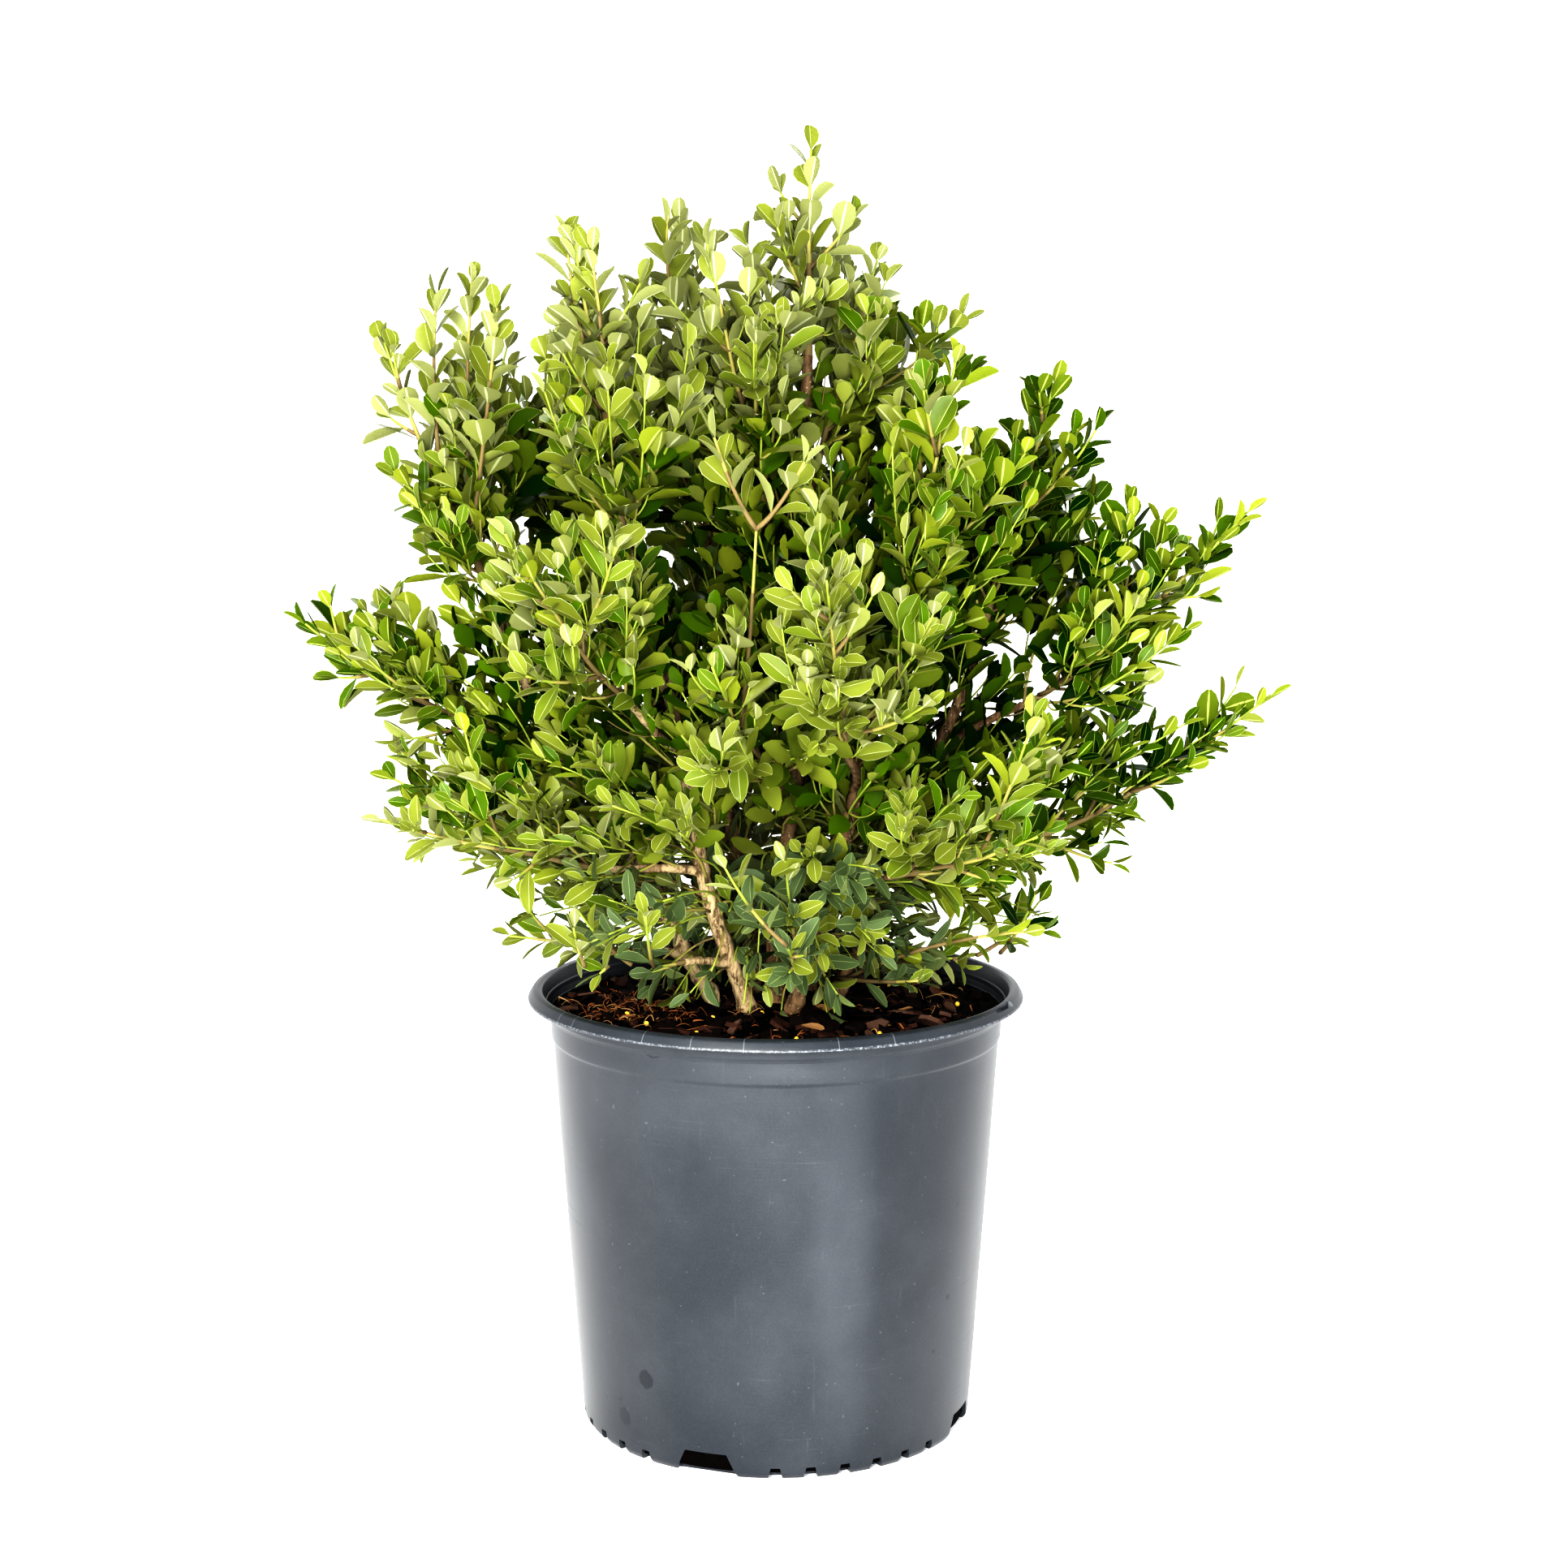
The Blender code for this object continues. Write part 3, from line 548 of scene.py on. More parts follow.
def add_piece(name, points, faces, materials, looks=None, smooth=True, sharp=None):
    """A mesh object from an array of points and a list of face arrays of equal corners."""
    mesh = bpy.data.meshes.new(name)
    points = np.asarray(points, np.float32).reshape(-1, 3)
    corners = np.concatenate([part.ravel() for part in faces]).astype(np.int32)
    sizes = np.concatenate([np.full(len(part), part.shape[1]) for part in faces])
    starts = np.concatenate(((0,), np.cumsum(sizes)[:-1])).astype(np.int32)
    mesh.vertices.add(len(points))
    mesh.vertices.foreach_set("co", points.ravel())
    mesh.loops.add(len(corners))
    mesh.loops.foreach_set("vertex_index", corners)
    mesh.polygons.add(len(sizes))
    mesh.polygons.foreach_set("loop_start", starts)
    for material in materials:
        mesh.materials.append(material)
    if looks is not None:
        mesh.polygons.foreach_set("material_index", np.asarray(looks, np.int32))
    mesh.update(calc_edges=True)
    (mesh.shade_smooth if smooth else mesh.shade_flat)()
    if sharp is not None:
        mesh.set_sharp_from_angle(angle=sharp)
    made = bpy.data.objects.new(name, mesh)
    bpy.context.scene.collection.objects.link(made)
    return made


def dress(piece, nodes=()):
    """Ride the piece on the plant's one body, for these nodes of the frame."""
    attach(piece, "root")
    if nodes:
        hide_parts(*nodes)


def cut_away(piece, cutter):
    """Subtract a closed cutter from a piece, and keep the result as its plain mesh."""
    cut = piece.modifiers.new("cut", "BOOLEAN")
    cut.operation = "DIFFERENCE"
    cut.object = cutter
    cut.solver = "EXACT"
    bpy.context.view_layer.update()
    graph = bpy.context.evaluated_depsgraph_get()
    mesh = bpy.data.meshes.new_from_object(piece.evaluated_get(graph))
    piece.modifiers.clear()
    piece.data = mesh
    bpy.data.objects.remove(cutter, do_unlink=True)


# Materials


class Paint:
    """A Principled material and the nodes that feed it, all on Object coordinates."""

    def __init__(self, name, colour, roughness, specular=0.5):
        self.made = bpy.data.materials.new(name)
        self.made.use_nodes = True
        self.made.diffuse_color = (*colour, 1.0)
        self.tree = self.made.node_tree
        self.shader = self.tree.nodes["Principled BSDF"]
        self.places = self.tree.nodes.new("ShaderNodeTexCoord").outputs["Object"]
        self.set("Base Color", (*colour, 1.0))
        self.set("Roughness", roughness)
        self.set("Specular IOR Level", specular)

    def feed(self, socket, value):
        """Link a socket to an output, or set its value."""
        if isinstance(value, bpy.types.NodeSocket):
            self.tree.links.new(value, socket)
        else:
            socket.default_value = value

    def set(self, socket, value):
        """Feed a socket of the shader."""
        self.feed(self.shader.inputs[socket], value)

    def add(self, kind, inputs, output=0, **settings):
        """The output of a new node with these settings and inputs."""
        node = self.tree.nodes.new("ShaderNode" + kind)
        for key, value in settings.items():
            setattr(node, key, value)
        for socket, value in inputs.items():
            self.feed(node.inputs[socket], value)
        return node.outputs[output]

    def scaled(self, scale):
        """The coordinates, scaled along each axis."""
        return self.add("Mapping", {"Vector": self.places, "Scale": scale})

    def noise(self, scale, detail, roughness, stretch=None):
        """The factor of a noise pattern, stretched if asked."""
        places = self.scaled(stretch) if stretch else self.places
        inputs = {"Vector": places, "Scale": scale, "Detail": detail, "Roughness": roughness}
        return self.add("TexNoise", inputs, "Fac")

    def between(self, value, low, high, to_low=0.0, to_high=1.0):
        """The value carried smoothly from one range to another, and clamped."""
        inputs = {"Value": value, "From Min": low, "From Max": high, "To Min": to_low, "To Max": to_high}
        return self.add("MapRange", inputs, "Result", interpolation_type="SMOOTHSTEP")

    def mixed(self, factor, first, second):
        """The first colour and the second mixed by the factor."""
        pair = [c if isinstance(c, bpy.types.NodeSocket) else (*c, 1.0) for c in (first, second)]
        return self.add("Mix", {0: factor, 6: pair[0], 7: pair[1]}, 2, data_type="RGBA")

    def summed(self, total, *values):
        """The sum of some values, clamped to 0 and 1."""
        for value in values:
            total = self.add("Math", {0: total, 1: value}, operation="ADD", use_clamp=True)
        return total

    def times(self, value, other):
        """The product of two values."""
        return self.add("Math", {0: value, 1: other}, operation="MULTIPLY")

    def vector(self, operation, *vectors):
        """The number that an operation on vectors gives."""
        return self.add("VectorMath", dict(enumerate(vectors)), "Value", operation=operation)

    def bump(self, height, distance, strength=1.0):
        """Give the shader a bump from this height."""
        inputs = {"Height": height, "Distance": distance, "Strength": strength}
        self.set("Normal", self.add("Bump", inputs, "Normal"))

    def patches(self, rows):
        """Soft patches, each from its middle, its reach along each axis and its strength."""
        made = []
        for middle, reach, strength in rows:
            spot = [m / r for m, r in zip(middle, reach)]
            apart = self.vector("DISTANCE", self.scaled([1.0 / r for r in reach]), spot)
            made.append(self.between(apart, 0.25, 1.0, strength, 0.0))
        return made

    def marks(self, rows, ragged):
        """1 on each mark and 0 off it, with a ragged edge."""
        made = []
        for spot, radius in rows:
            away = self.vector("DISTANCE", self.places, spot)
            edge = self.add("Math", {0: ragged, 1: radius, 2: away}, operation="MULTIPLY_ADD")
            made.append(self.between(edge, radius * 1.45, radius * 1.55, 1.0, 0.0))
        return made


def plain(name, colour, roughness, specular, relief):
    """One plain colour with a fine relief."""
    paint = Paint(name, colour, roughness, specular)
    pattern, depth, strength = relief
    paint.bump(paint.noise(*pattern), depth, strength)
    return paint.made


def pot_material(look):
    """Satin nursery plastic: a cloudy dust film, scuffs, scratches and marks, and painted highlights on the
    front and the rim's edges.
    """
    paint = Paint("pot_plastic", look.colour, look.roughness, 0.34)
    between, times, summed = paint.between, paint.times, paint.summed
    cloud = paint.noise(9.0, 5.0, 0.6)
    grain = paint.noise(900.0, 2.0, 0.5)
    film = between(cloud, 0.36, 0.76, 0.0, 0.32)
    hoops = paint.noise(60.0, 6.0, 0.75, (0.25, 0.25, 14.0))
    scuffs = times(between(hoops, 0.60, 0.74), between(cloud, 0.42, 0.60))
    streaks = paint.noise(40.0, 6.0, 0.7, (5.0, 5.0, 0.35))
    runs = times(between(streaks, 0.60, 0.80), 0.35)
    flecks = between(paint.noise(420.0, 1.0, 0.4), 0.765, 0.795)
    specks = times(between(grain, 0.35, 0.75), 0.10)
    # The lighter mix: dust film, scuffs, runs, flecks, specks and the dust patches, the first of which is a
    # painted highlight
    light = summed(film, times(scuffs, 0.55), runs, times(flecks, 0.6), specks, *paint.patches(POT_DUST_AND_HIGHLIGHT))
    colour = paint.mixed(light, look.colour, look.dust)
    colour = paint.mixed(times(summed(*paint.patches(POT_SHADES)), 0.8), colour, look.mark)
    # Rim edges: real wear, with a painted highlight line along the outer and inner edge
    colour = paint.mixed(times(rim_wear_and_highlight(paint, look, grain), 0.55), colour, look.worn_and_highlit)
    marks = summed(*paint.marks(POT_MARKS, paint.noise(190.0, 3.0, 0.6)))
    paint.set("Base Color", paint.mixed(times(marks, 0.9), colour, look.mark))
    rough = between(summed(film, scuffs), 0.0, 1.0, look.roughness - 0.06, look.roughness + 0.16)
    paint.set("Roughness", rough)
    paint.bump(summed(times(grain, 0.25), times(hoops, 0.30), times(flecks, 0.3)), 0.00025, 0.55)
    return paint.made


def rim_wear_and_highlight(paint, look, grain):
    """1 on the rim's outer and inner edges, pale from rubbing and a painted highlight, and on the fine nicks
    across it.
    """
    between, times, summed = paint.between, paint.times, paint.summed
    reach = paint.vector("LENGTH", paint.scaled((1.0, 1.0, 0.0)))
    height = paint.add("SeparateXYZ", {0: paint.places}, "Z")
    rim, top = look.rim_radius, look.height
    inner, lip = rim - RIM_WIDTH, top - LIP_DROP
    # Pale lines on the rim's rounded edges: rubbed wear and a painted highlight
    outer_wear_and_highlight = times(
        between(reach, rim - 0.0005, rim - 0.0002),
        between(height, lip - 0.0008, lip - 0.0004),
    )
    inner_wear_and_highlight = times(
        between(reach, inner + 0.0009, inner + 0.0003),
        between(height, top - 0.0014, top - 0.0008),
    )
    rubbed_and_highlit = times(summed(outer_wear_and_highlight, inner_wear_and_highlight), between(grain, 0.42, 0.66, 0.10, 0.8))
    on_rim = times(
        between(reach, rim - RIM_WIDTH * 0.9, rim - RIM_WIDTH * 0.7),
        between(height, top - LIP_DROP * 1.6, top - LIP_DROP * 1.3),
    )
    for azimuth in RIM_NICKS:
        off = paint.vector("DOT_PRODUCT", paint.places, polar(azimuth + 90.0, 1.0, 0.0))
        off = paint.add("Math", {0: off}, operation="ABSOLUTE")
        ahead = paint.vector("DOT_PRODUCT", paint.places, polar(azimuth, 1.0, 0.0))
        nick = times(between(off, *NICK_HALVES, 1.0, 0.0), between(ahead, 0.0, 0.01))
        rubbed_and_highlit = summed(rubbed_and_highlit, times(nick, times(on_rim, 0.5)))
    return rubbed_and_highlit


def soil_material(look):
    """Moist bark mix: near black, with browner and paler grains."""
    paint = Paint("soil_mix", look.soil, 0.92, 0.06)
    coarse, fine = paint.noise(130.0, 6.0, 0.7), paint.noise(620.0, 4.0, 0.65)
    colour = paint.mixed(paint.between(coarse, 0.42, 0.66), look.soil, look.humus)
    pale = paint.times(paint.between(fine, 0.62, 0.76), 0.40)
    paint.set("Base Color", paint.mixed(pale, colour, look.grain))
    paint.bump(paint.summed(paint.times(coarse, 0.6), paint.times(fine, 0.4)), 0.0016)
    return paint.made


def bark_material(name, look, bark, furrow):
    """Bark with browner furrows along the stem, older patches and pale flecks."""
    paint = Paint(name, bark, 0.86, 0.2)
    furrows = paint.noise(330.0, 5.0, 0.7, (1.0, 1.0, 0.22))
    old = paint.between(paint.noise(42.0, 4.0, 0.6), 0.50, 0.66)
    pale = paint.between(paint.noise(700.0, 2.0, 0.5), 0.62, 0.72)
    colour = paint.mixed(paint.between(furrows, 0.36, 0.58), furrow, bark)
    colour = paint.mixed(paint.times(old, 0.55), colour, look.old_bark)
    paint.set("Base Color", paint.mixed(paint.times(pale, 0.5), colour, look.pale_bark))
    paint.bump(furrows, 0.0008, 0.9)
    return paint.made


def leaf_materials(look):
    """Materials of every colour class, for blade, edge, underside and rib in turn, from new
    leaves and painted light to old leaves and painted shade. A class between the named colours
    takes its share of the two beside it."""
    made = []
    for part in ("top", "edge", "under", "rib"):
        *stops, dusty = [getattr(look, f"{part}_{age}") for age in ("new", "green", "deep", "dusty")]
        glossy = part in ("top", "edge")
        for tone in range(TONES + 1):
            at = 2.0 * tone / (TONES - 1)
            colour = dusty if tone == DUSTY else [np.interp(at, (0, 1, 2), row) for row in zip(*stops)]
            # The deepest tones, which also paint shade, get little sheen
            sheen = look.sheen * (2.0 if tone == DUSTY else np.interp(at, (0, 1, 2), (1.0, 0.9, 0.15)))
            roughness = (look.gloss if tone != DUSTY else 0.62) if glossy else 0.58
            name = f"leaf_{part}_{'dusty' if tone == DUSTY else tone}"
            made.append(plain(name, colour, roughness, sheen if glossy else sheen / 3, LEAF_RELIEF))
    return made


# The settings that a user may change


def rgb(name, description, *default):
    """A colour setting."""
    return bpy.props.FloatVectorProperty(
        name=name, description=description, default=default, size=3, min=0.0, max=1.0, subtype="COLOR"
    )


def metres(name, description, default):
    """A length setting."""
    return bpy.props.FloatProperty(
        name=name, description=description, default=default, min=0.0, precision=4, unit="LENGTH"
    )


def factor(name, description, default):
    """A setting from 0 to 1."""
    return bpy.props.FloatProperty(
        name=name, description=description, default=default, min=0.0, max=1.0, subtype="FACTOR"
    )


def amount(name, description, default):
    """A setting with no upper end."""
    return bpy.props.FloatProperty(name=name, description=description, default=default, min=0.0)


def number(name, description, default):
    """A setting that counts things."""
    return bpy.props.IntProperty(name=name, description=description, default=default, min=0)


class PotLook(bpy.types.PropertyGroup):
    """Size and finish of the pot."""

    height: metres("Height", "Height of the pot", POT_HIGH[2])
    rim_radius: metres("Rim radius", "Radius of the rim's outer edge", POT_HIGH[0])
    colour: rgb("Plastic", "Colour of the clean plastic", 0.0116, 0.0142, 0.0182)
    # The dust colour also paints the soft highlight down the pot's front
    dust: rgb("Dust", "Colour of the dust film and the scuffs", 0.049, 0.053, 0.0595)
    # The worn colour also paints highlight lines along the rim's edges
    worn_and_highlit: rgb("Worn edges", "Colour of the rubbed edges and fine nicks", 0.240, 0.255, 0.270)
    mark: rgb("Marks", "Colour of stains and nicks", 0.007, 0.009, 0.012)
    roughness: factor("Roughness", "Roughness of the clean plastic", 0.40)


class SoilLook(bpy.types.PropertyGroup):
    """Colours of the soil and counts of what lies on it."""

    soil: rgb("Soil", "Colour of the moist mix", 0.0012, 0.0009, 0.0007)
    humus: rgb("Humus", "Colour of its browner parts", 0.0028, 0.0015, 0.0010)
    grain: rgb("Grains", "Colour of its pale grains", 0.030, 0.017, 0.010)
    bark_dark: rgb("Dark bark", "Colour of most chips", 0.0060, 0.0030, 0.0022)
    bark_red: rgb("Red bark", "Colour of the redder chips", 0.032, 0.014, 0.009)
    bark_grey: rgb("Grey bark", "Colour of the weathered chips", 0.060, 0.034, 0.024)
    fibre: rgb("Fibre", "Colour of the orange shreds", 0.200, 0.080, 0.028)
    straw: rgb("Straw", "Colour of the pale shreds", 0.260, 0.160, 0.075)
    feed: rgb("Feed", "Colour of the plant food beads", 0.620, 0.420, 0.060)
    dry: rgb("Dry leaf", "Colour of most fallen leaves", 0.150, 0.086, 0.038)
    rusty: rgb("Rusty leaf", "Colour of the other fallen leaves", 0.100, 0.042, 0.018)
    chips: number("Chips", "Number of bark chips", 430)
    crumbs: number("Crumbs", "Number of soil crumbs", 2600)
    shreds: number("Shreds", "Number of shreds", 420)
    beads: number("Beads", "Number of plant food beads", 26)
    fallen: number("Fallen leaves", "Number of fallen leaves", 9)


class WoodLook(bpy.types.PropertyGroup):
    """Colours of bark, twigs and shoots, and the depth of the bark's relief."""

    bark: rgb("Bark", "Colour of the stems' bark", 0.330, 0.255, 0.145)
    furrow: rgb("Furrows", "Colour in the bark's furrows", 0.060, 0.036, 0.016)
    # Painted shade: the stems behind take these darker copies of the bark and its furrows
    brown_bark: rgb("Brown bark", "Colour of the bark of the stems behind", 0.150, 0.098, 0.052)
    shaded_furrow: rgb("Brown furrows", "Colour in the furrows behind", 0.045, 0.027, 0.013)
    old_bark: rgb("Old bark", "Colour of older patches", 0.140, 0.085, 0.045)
    pale_bark: rgb("Pale bark", "Colour of pale flecks", 0.560, 0.470, 0.330)
    twig_old: rgb("Old twig", "Colour of twigs near the boughs", 0.120, 0.090, 0.040)
    twig_mid: rgb("Twig", "Colour of twigs half way out", 0.200, 0.180, 0.055)
    twig_new: rgb("Shoot", "Colour of the green shoots", 0.170, 0.205, 0.035)
    relief: metres("Relief", "Depth of the bark's ridges", 0.00035)


class LeafLook(bpy.types.PropertyGroup):
    """Sizes and colours of the leaves."""

    length: metres("Length", "Length of a full leaf", 0.0215)
    width: metres("Width", "Width of a full leaf", 0.0120)
    thickness: metres("Thickness", "Thickness in the middle", 0.00038)
    spacing: metres("Spacing", "Distance between pairs on a shoot", 0.0116)
    gloss: factor("Gloss", "Roughness of the upper side", 0.30)
    sheen: factor("Sheen", "Strength of the upper side's reflection", 0.10)
    # The new colours also paint light on leaves in front and on the left; the near black deep ones paint the
    # shade deep in the crown and on the right
    top_new: rgb("New, upper side", "Newest leaves from above", 0.100, 0.116, 0.018)
    top_green: rgb("Green, upper side", "Grown leaves from above", 0.043, 0.079, 0.0013)
    top_deep: rgb("Deep, upper side", "Oldest leaves from above", 0.0034, 0.0155, 0.0004)
    top_dusty: rgb("Dusty, upper side", "Low dusty leaves from above", 0.048, 0.068, 0.026)
    under_new: rgb("New, underside", "Newest leaves from below", 0.151, 0.163, 0.064)
    under_green: rgb("Green, underside", "Grown leaves from below", 0.138, 0.161, 0.018)
    under_deep: rgb("Deep, underside", "Oldest leaves from below", 0.032, 0.060, 0.0022)
    under_dusty: rgb("Dusty, underside", "Low dusty leaves from below", 0.100, 0.122, 0.048)
    edge_new: rgb("New, edge", "Edge and rib of the newest leaves", 0.246, 0.272, 0.138)
    edge_green: rgb("Green, edge", "Edge and rib of grown leaves", 0.230, 0.268, 0.085)
    edge_deep: rgb("Deep, edge", "Edge and rib of the oldest leaves", 0.120, 0.175, 0.035)
    edge_dusty: rgb("Dusty, edge", "Edge and rib of dusty leaves", 0.165, 0.200, 0.090)
    rib_new: rgb("New, rib below", "Rib below of the newest leaves", 0.302, 0.322, 0.188)
    rib_green: rgb("Green, rib below", "Rib below of grown leaves", 0.260, 0.295, 0.100)
    rib_deep: rgb("Deep, rib below", "Rib below of the oldest leaves", 0.230, 0.290, 0.070)
    rib_dusty: rgb("Dusty, rib below", "Rib below of dusty leaves", 0.190, 0.215, 0.100)


class StageLook(bpy.types.PropertyGroup):
    """Floor, light and camera."""

    floor: rgb("Floor", "Colour of the floor", 0.95, 0.95, 0.95)
    sky: amount("Room light", "Strength of the light all round", 1.08)
    key: amount("Key light", "Power of the key light in watts", 110.0)
    fill: amount("Fill light", "Power of the fill light in watts", 80.0)
    back: amount("Back light", "Power of the back light in watts", 36.0)
    lens: amount("Lens", "Focal length in millimetres", CAMERA_LENS)


# The pot


def wall_radius(height):
    """Outer radius of the pot's tapered wall."""
    share = height / (POT_HIGH[2] - COLLAR_HEIGHT)
    return BASE_RADIUS + (WALL_TOP_RADIUS - BASE_RADIUS) * share


def pot_section(look):
    """Radius and height of the pot's corners, from under its middle round to its floor inside."""
    top, step, rim, inner = look.height, COLLAR_STEP, look.rim_radius, look.rim_radius - RIM_WIDTH
    collar, neck, lip = top - COLLAR_HEIGHT, top - NECK_HEIGHT, top - LIP_DROP
    radius = WALL_TOP_RADIUS + step
    outside = (
        (0.0, 0.0), (wall_radius(0.0) - CORNER * 0.6, 0.0), (wall_radius(CORNER), CORNER),
        (wall_radius(collar), collar), (radius, collar + step), (radius + step / 2, neck),
        (radius + step * 1.5, neck + step), (radius + step * 2, lip - step * 2),
        (rim - step, lip - LIP_EDGE), (rim, lip - LIP_EDGE), (rim, lip),
    )
    inside = (
        (rim - RIM_WIDTH / 3, top - step), (inner + RIM_WIDTH / 4, top), (inner, top - step),
        (wall_radius(collar) - WALL, collar), (wall_radius(FLOOR) - WALL, FLOOR), (0.0, FLOOR),
    )
    return np.array(outside + inside)


def rounded(section):
    """The section with each corner drawn as a small quadratic curve."""
    made = [section[:1]]
    shares = np.linspace(0.0, 1.0, ROUNDING_STEPS)
    for before, at, after in zip(section[:-2], section[1:-1], section[2:]):
        back, on = before - at, after - at
        back *= min(ROUNDING / np.linalg.norm(back), ROUNDING_SHARE)
        on *= min(ROUNDING / np.linalg.norm(on), ROUNDING_SHARE)
        made.append(bow(at + back, at, at + on, shares))
    return np.concatenate((*made, section[-1:]))


def finely(section):
    """The section with points added so that none are further apart than a row."""
    made = []
    for start, end in zip(section[:-1], section[1:]):
        count = max(1, math.ceil(np.linalg.norm(end - start) / POT_ROW))
        made.append(start + (end - start) * (np.arange(count) / count)[:, None])
    return np.concatenate((*made, section[-1:]))


def block(azimuth, reaches, corners):
    """The eight corners of a block: a section of four, across and up, at two reaches."""
    out, side = polar(azimuth, 1.0, 0.0), polar(azimuth + 90.0, 1.0, 0.0)
    return [out * reach + side * across + upright(rise) for reach in reaches for across, rise in corners]


def wedge(azimuth, width, top_width, height):
    """A trapezoid block across the pot's bottom corner."""
    low, high = width / 2 + (width - top_width) / 2, top_width / 2
    corners = ((-low, -height), (low, -height), (high, height), (-high, height))
    return block(azimuth, (BASE_RADIUS - CUT_DEPTH, BASE_RADIUS + CUT_DEPTH), corners)


def pot_cuts(look):
    """Blocks to cut away: the drains, the notches between them and the slots in the rim."""
    quarter = 360.0 / DRAINS
    blocks = []
    for azimuth in DRAIN_TURN + quarter * np.arange(DRAINS):
        first = azimuth + (quarter - (NOTCHES - 1) * NOTCH_STEP) / 2
        blocks.append(wedge(azimuth, *DRAIN_SIZE))
        blocks += [wedge(first + NOTCH_STEP * notch, *NOTCH_SIZE) for notch in range(NOTCHES)]
    length, width, depth = SLOT_SIZE
    middle = look.rim_radius - RIM_WIDTH * 0.42
    low = look.height - LIP_DROP * 0.6 - depth
    high = low + 0.02
    corners = ((-length / 2, low), (length / 2, low), (length / 2, high), (-length / 2, high))
    blocks += [block(azimuth, (middle - width / 2, middle + width / 2), corners) for azimuth in RIM_SLOTS]
    sides = np.array(((3, 2, 1, 0), (4, 5, 6, 7), (0, 1, 5, 4), (1, 2, 6, 5), (2, 3, 7, 6), (3, 0, 4, 7)))
    return np.array(blocks), [repeated(sides, len(blocks), 8)]


def make_pot(look):
    """The pot: its rounded section turned about Z, its wall a little out of true."""
    points, faces = turned(finely(rounded(pot_section(look))), POT_TURNS)
    reach = np.hypot(points[:, 0], points[:, 1])
    loose = np.clip(points[:, 2] / 0.05, 0.0, 1.0) * np.clip((look.rim_radius - reach) / 0.004, 0.15, 1.0)
    shift = 1 + WOBBLE * ripples(points, WOBBLE_SIZE, SOIL_SEED) * loose / np.maximum(reach, 0.01)
    points[:, :2] *= np.where(reach > 0.05, shift, 1.0)[:, None]
    material = pot_material(look)
    pot = add_piece("pot_shell", points, faces, [material])
    cut_away(pot, add_piece("pot_cutter", *pot_cuts(look), [material]))
    pot.data.set_sharp_from_angle(angle=math.radians(38.0))
    dress(pot, ["pot"])


# The soil


def soil_height(x, y):
    """Height of the soil's top: a low mound, flat in the middle and falling evenly to the edge,
    plus ripples of three sizes."""
    base = np.interp(np.hypot(x, y), (0.0, MOUND_RADIUS, 0.130), (SOIL_TOP, SOIL_TOP, SOIL_EDGE))
    places = np.stack((x, y, np.zeros_like(x)), axis=-1)
    lumps = 0.0011 * ripples(places, 0.030, SOIL_SEED + 1) + 0.0007 * ripples(places, 0.009, SOIL_SEED + 2)
    return base + lumps + 0.0004 * ripples(places, 0.0036, SOIL_SEED + 3, 20) - 0.0012


def make_soil(material):
    """The soil bed: a section turned about Z, its top raised by the soil's height."""
    radius, bottom, collar = SOIL_HIGH[0], SOIL_LOW[2], POT_HIGH[2] - COLLAR_HEIGHT
    heights = np.linspace(bottom, SOIL_EDGE - 0.002, 40)
    knots = ((bottom, collar, SOIL_EDGE), (wall_radius(bottom), wall_radius(collar), radius + WALL + GAP))
    side = np.stack((np.interp(heights, *knots) - WALL - GAP, heights), axis=1)
    top = np.linspace((radius, SOIL_EDGE), (0.0, SOIL_EDGE), SOIL_ROWS)
    points, faces = turned(np.concatenate((((0.0, bottom),), side, top)), SOIL_TURNS)
    on_top = points[:, 2] > SOIL_EDGE - 0.001
    points[on_top, 2] = soil_height(points[on_top, 0], points[on_top, 1])
    dress(add_piece("soil_bed", points, faces, [material]), ["soil"])


def scattered(draw, count, most):
    """Places spread evenly over a round bed of this radius."""
    reach = most * np.sqrt(draw.random(count))
    turn = draw.uniform(0.0, 2 * np.pi, count)
    return np.stack((reach * np.cos(turn), reach * np.sin(turn)), axis=1)


def random_sizes(draw, count, size, power=1.0):
    """Sizes from the least to the most, the large ones rarer with a higher power."""
    least, more = size
    return least + more * draw.random(count) ** power


def on_soil(places, rise):
    """Points this far above the soil at the places."""
    return np.column_stack((places, soil_height(places[:, 0], places[:, 1]) + rise))


def drawn_in(points, most):
    """Draw in the points that lie further out than this."""
    reach = np.hypot(points[..., 0], points[..., 1])
    points[..., :2] *= np.minimum(1.0, most / reach)[..., None]


def tilted(draw, count, most):
    """Random frames that lie nearly flat: along, across and up, as three arrays."""
    turn = draw.uniform(0.0, 2 * np.pi, count)
    lean = draw.normal(0.0, most, (count, 2))
    up = unit(np.column_stack((lean, np.ones(count))))
    along = np.stack((np.cos(turn), np.sin(turn), np.zeros(count)), axis=1)
    across = unit(np.cross(up, along))
    return np.cross(across, up), across, up


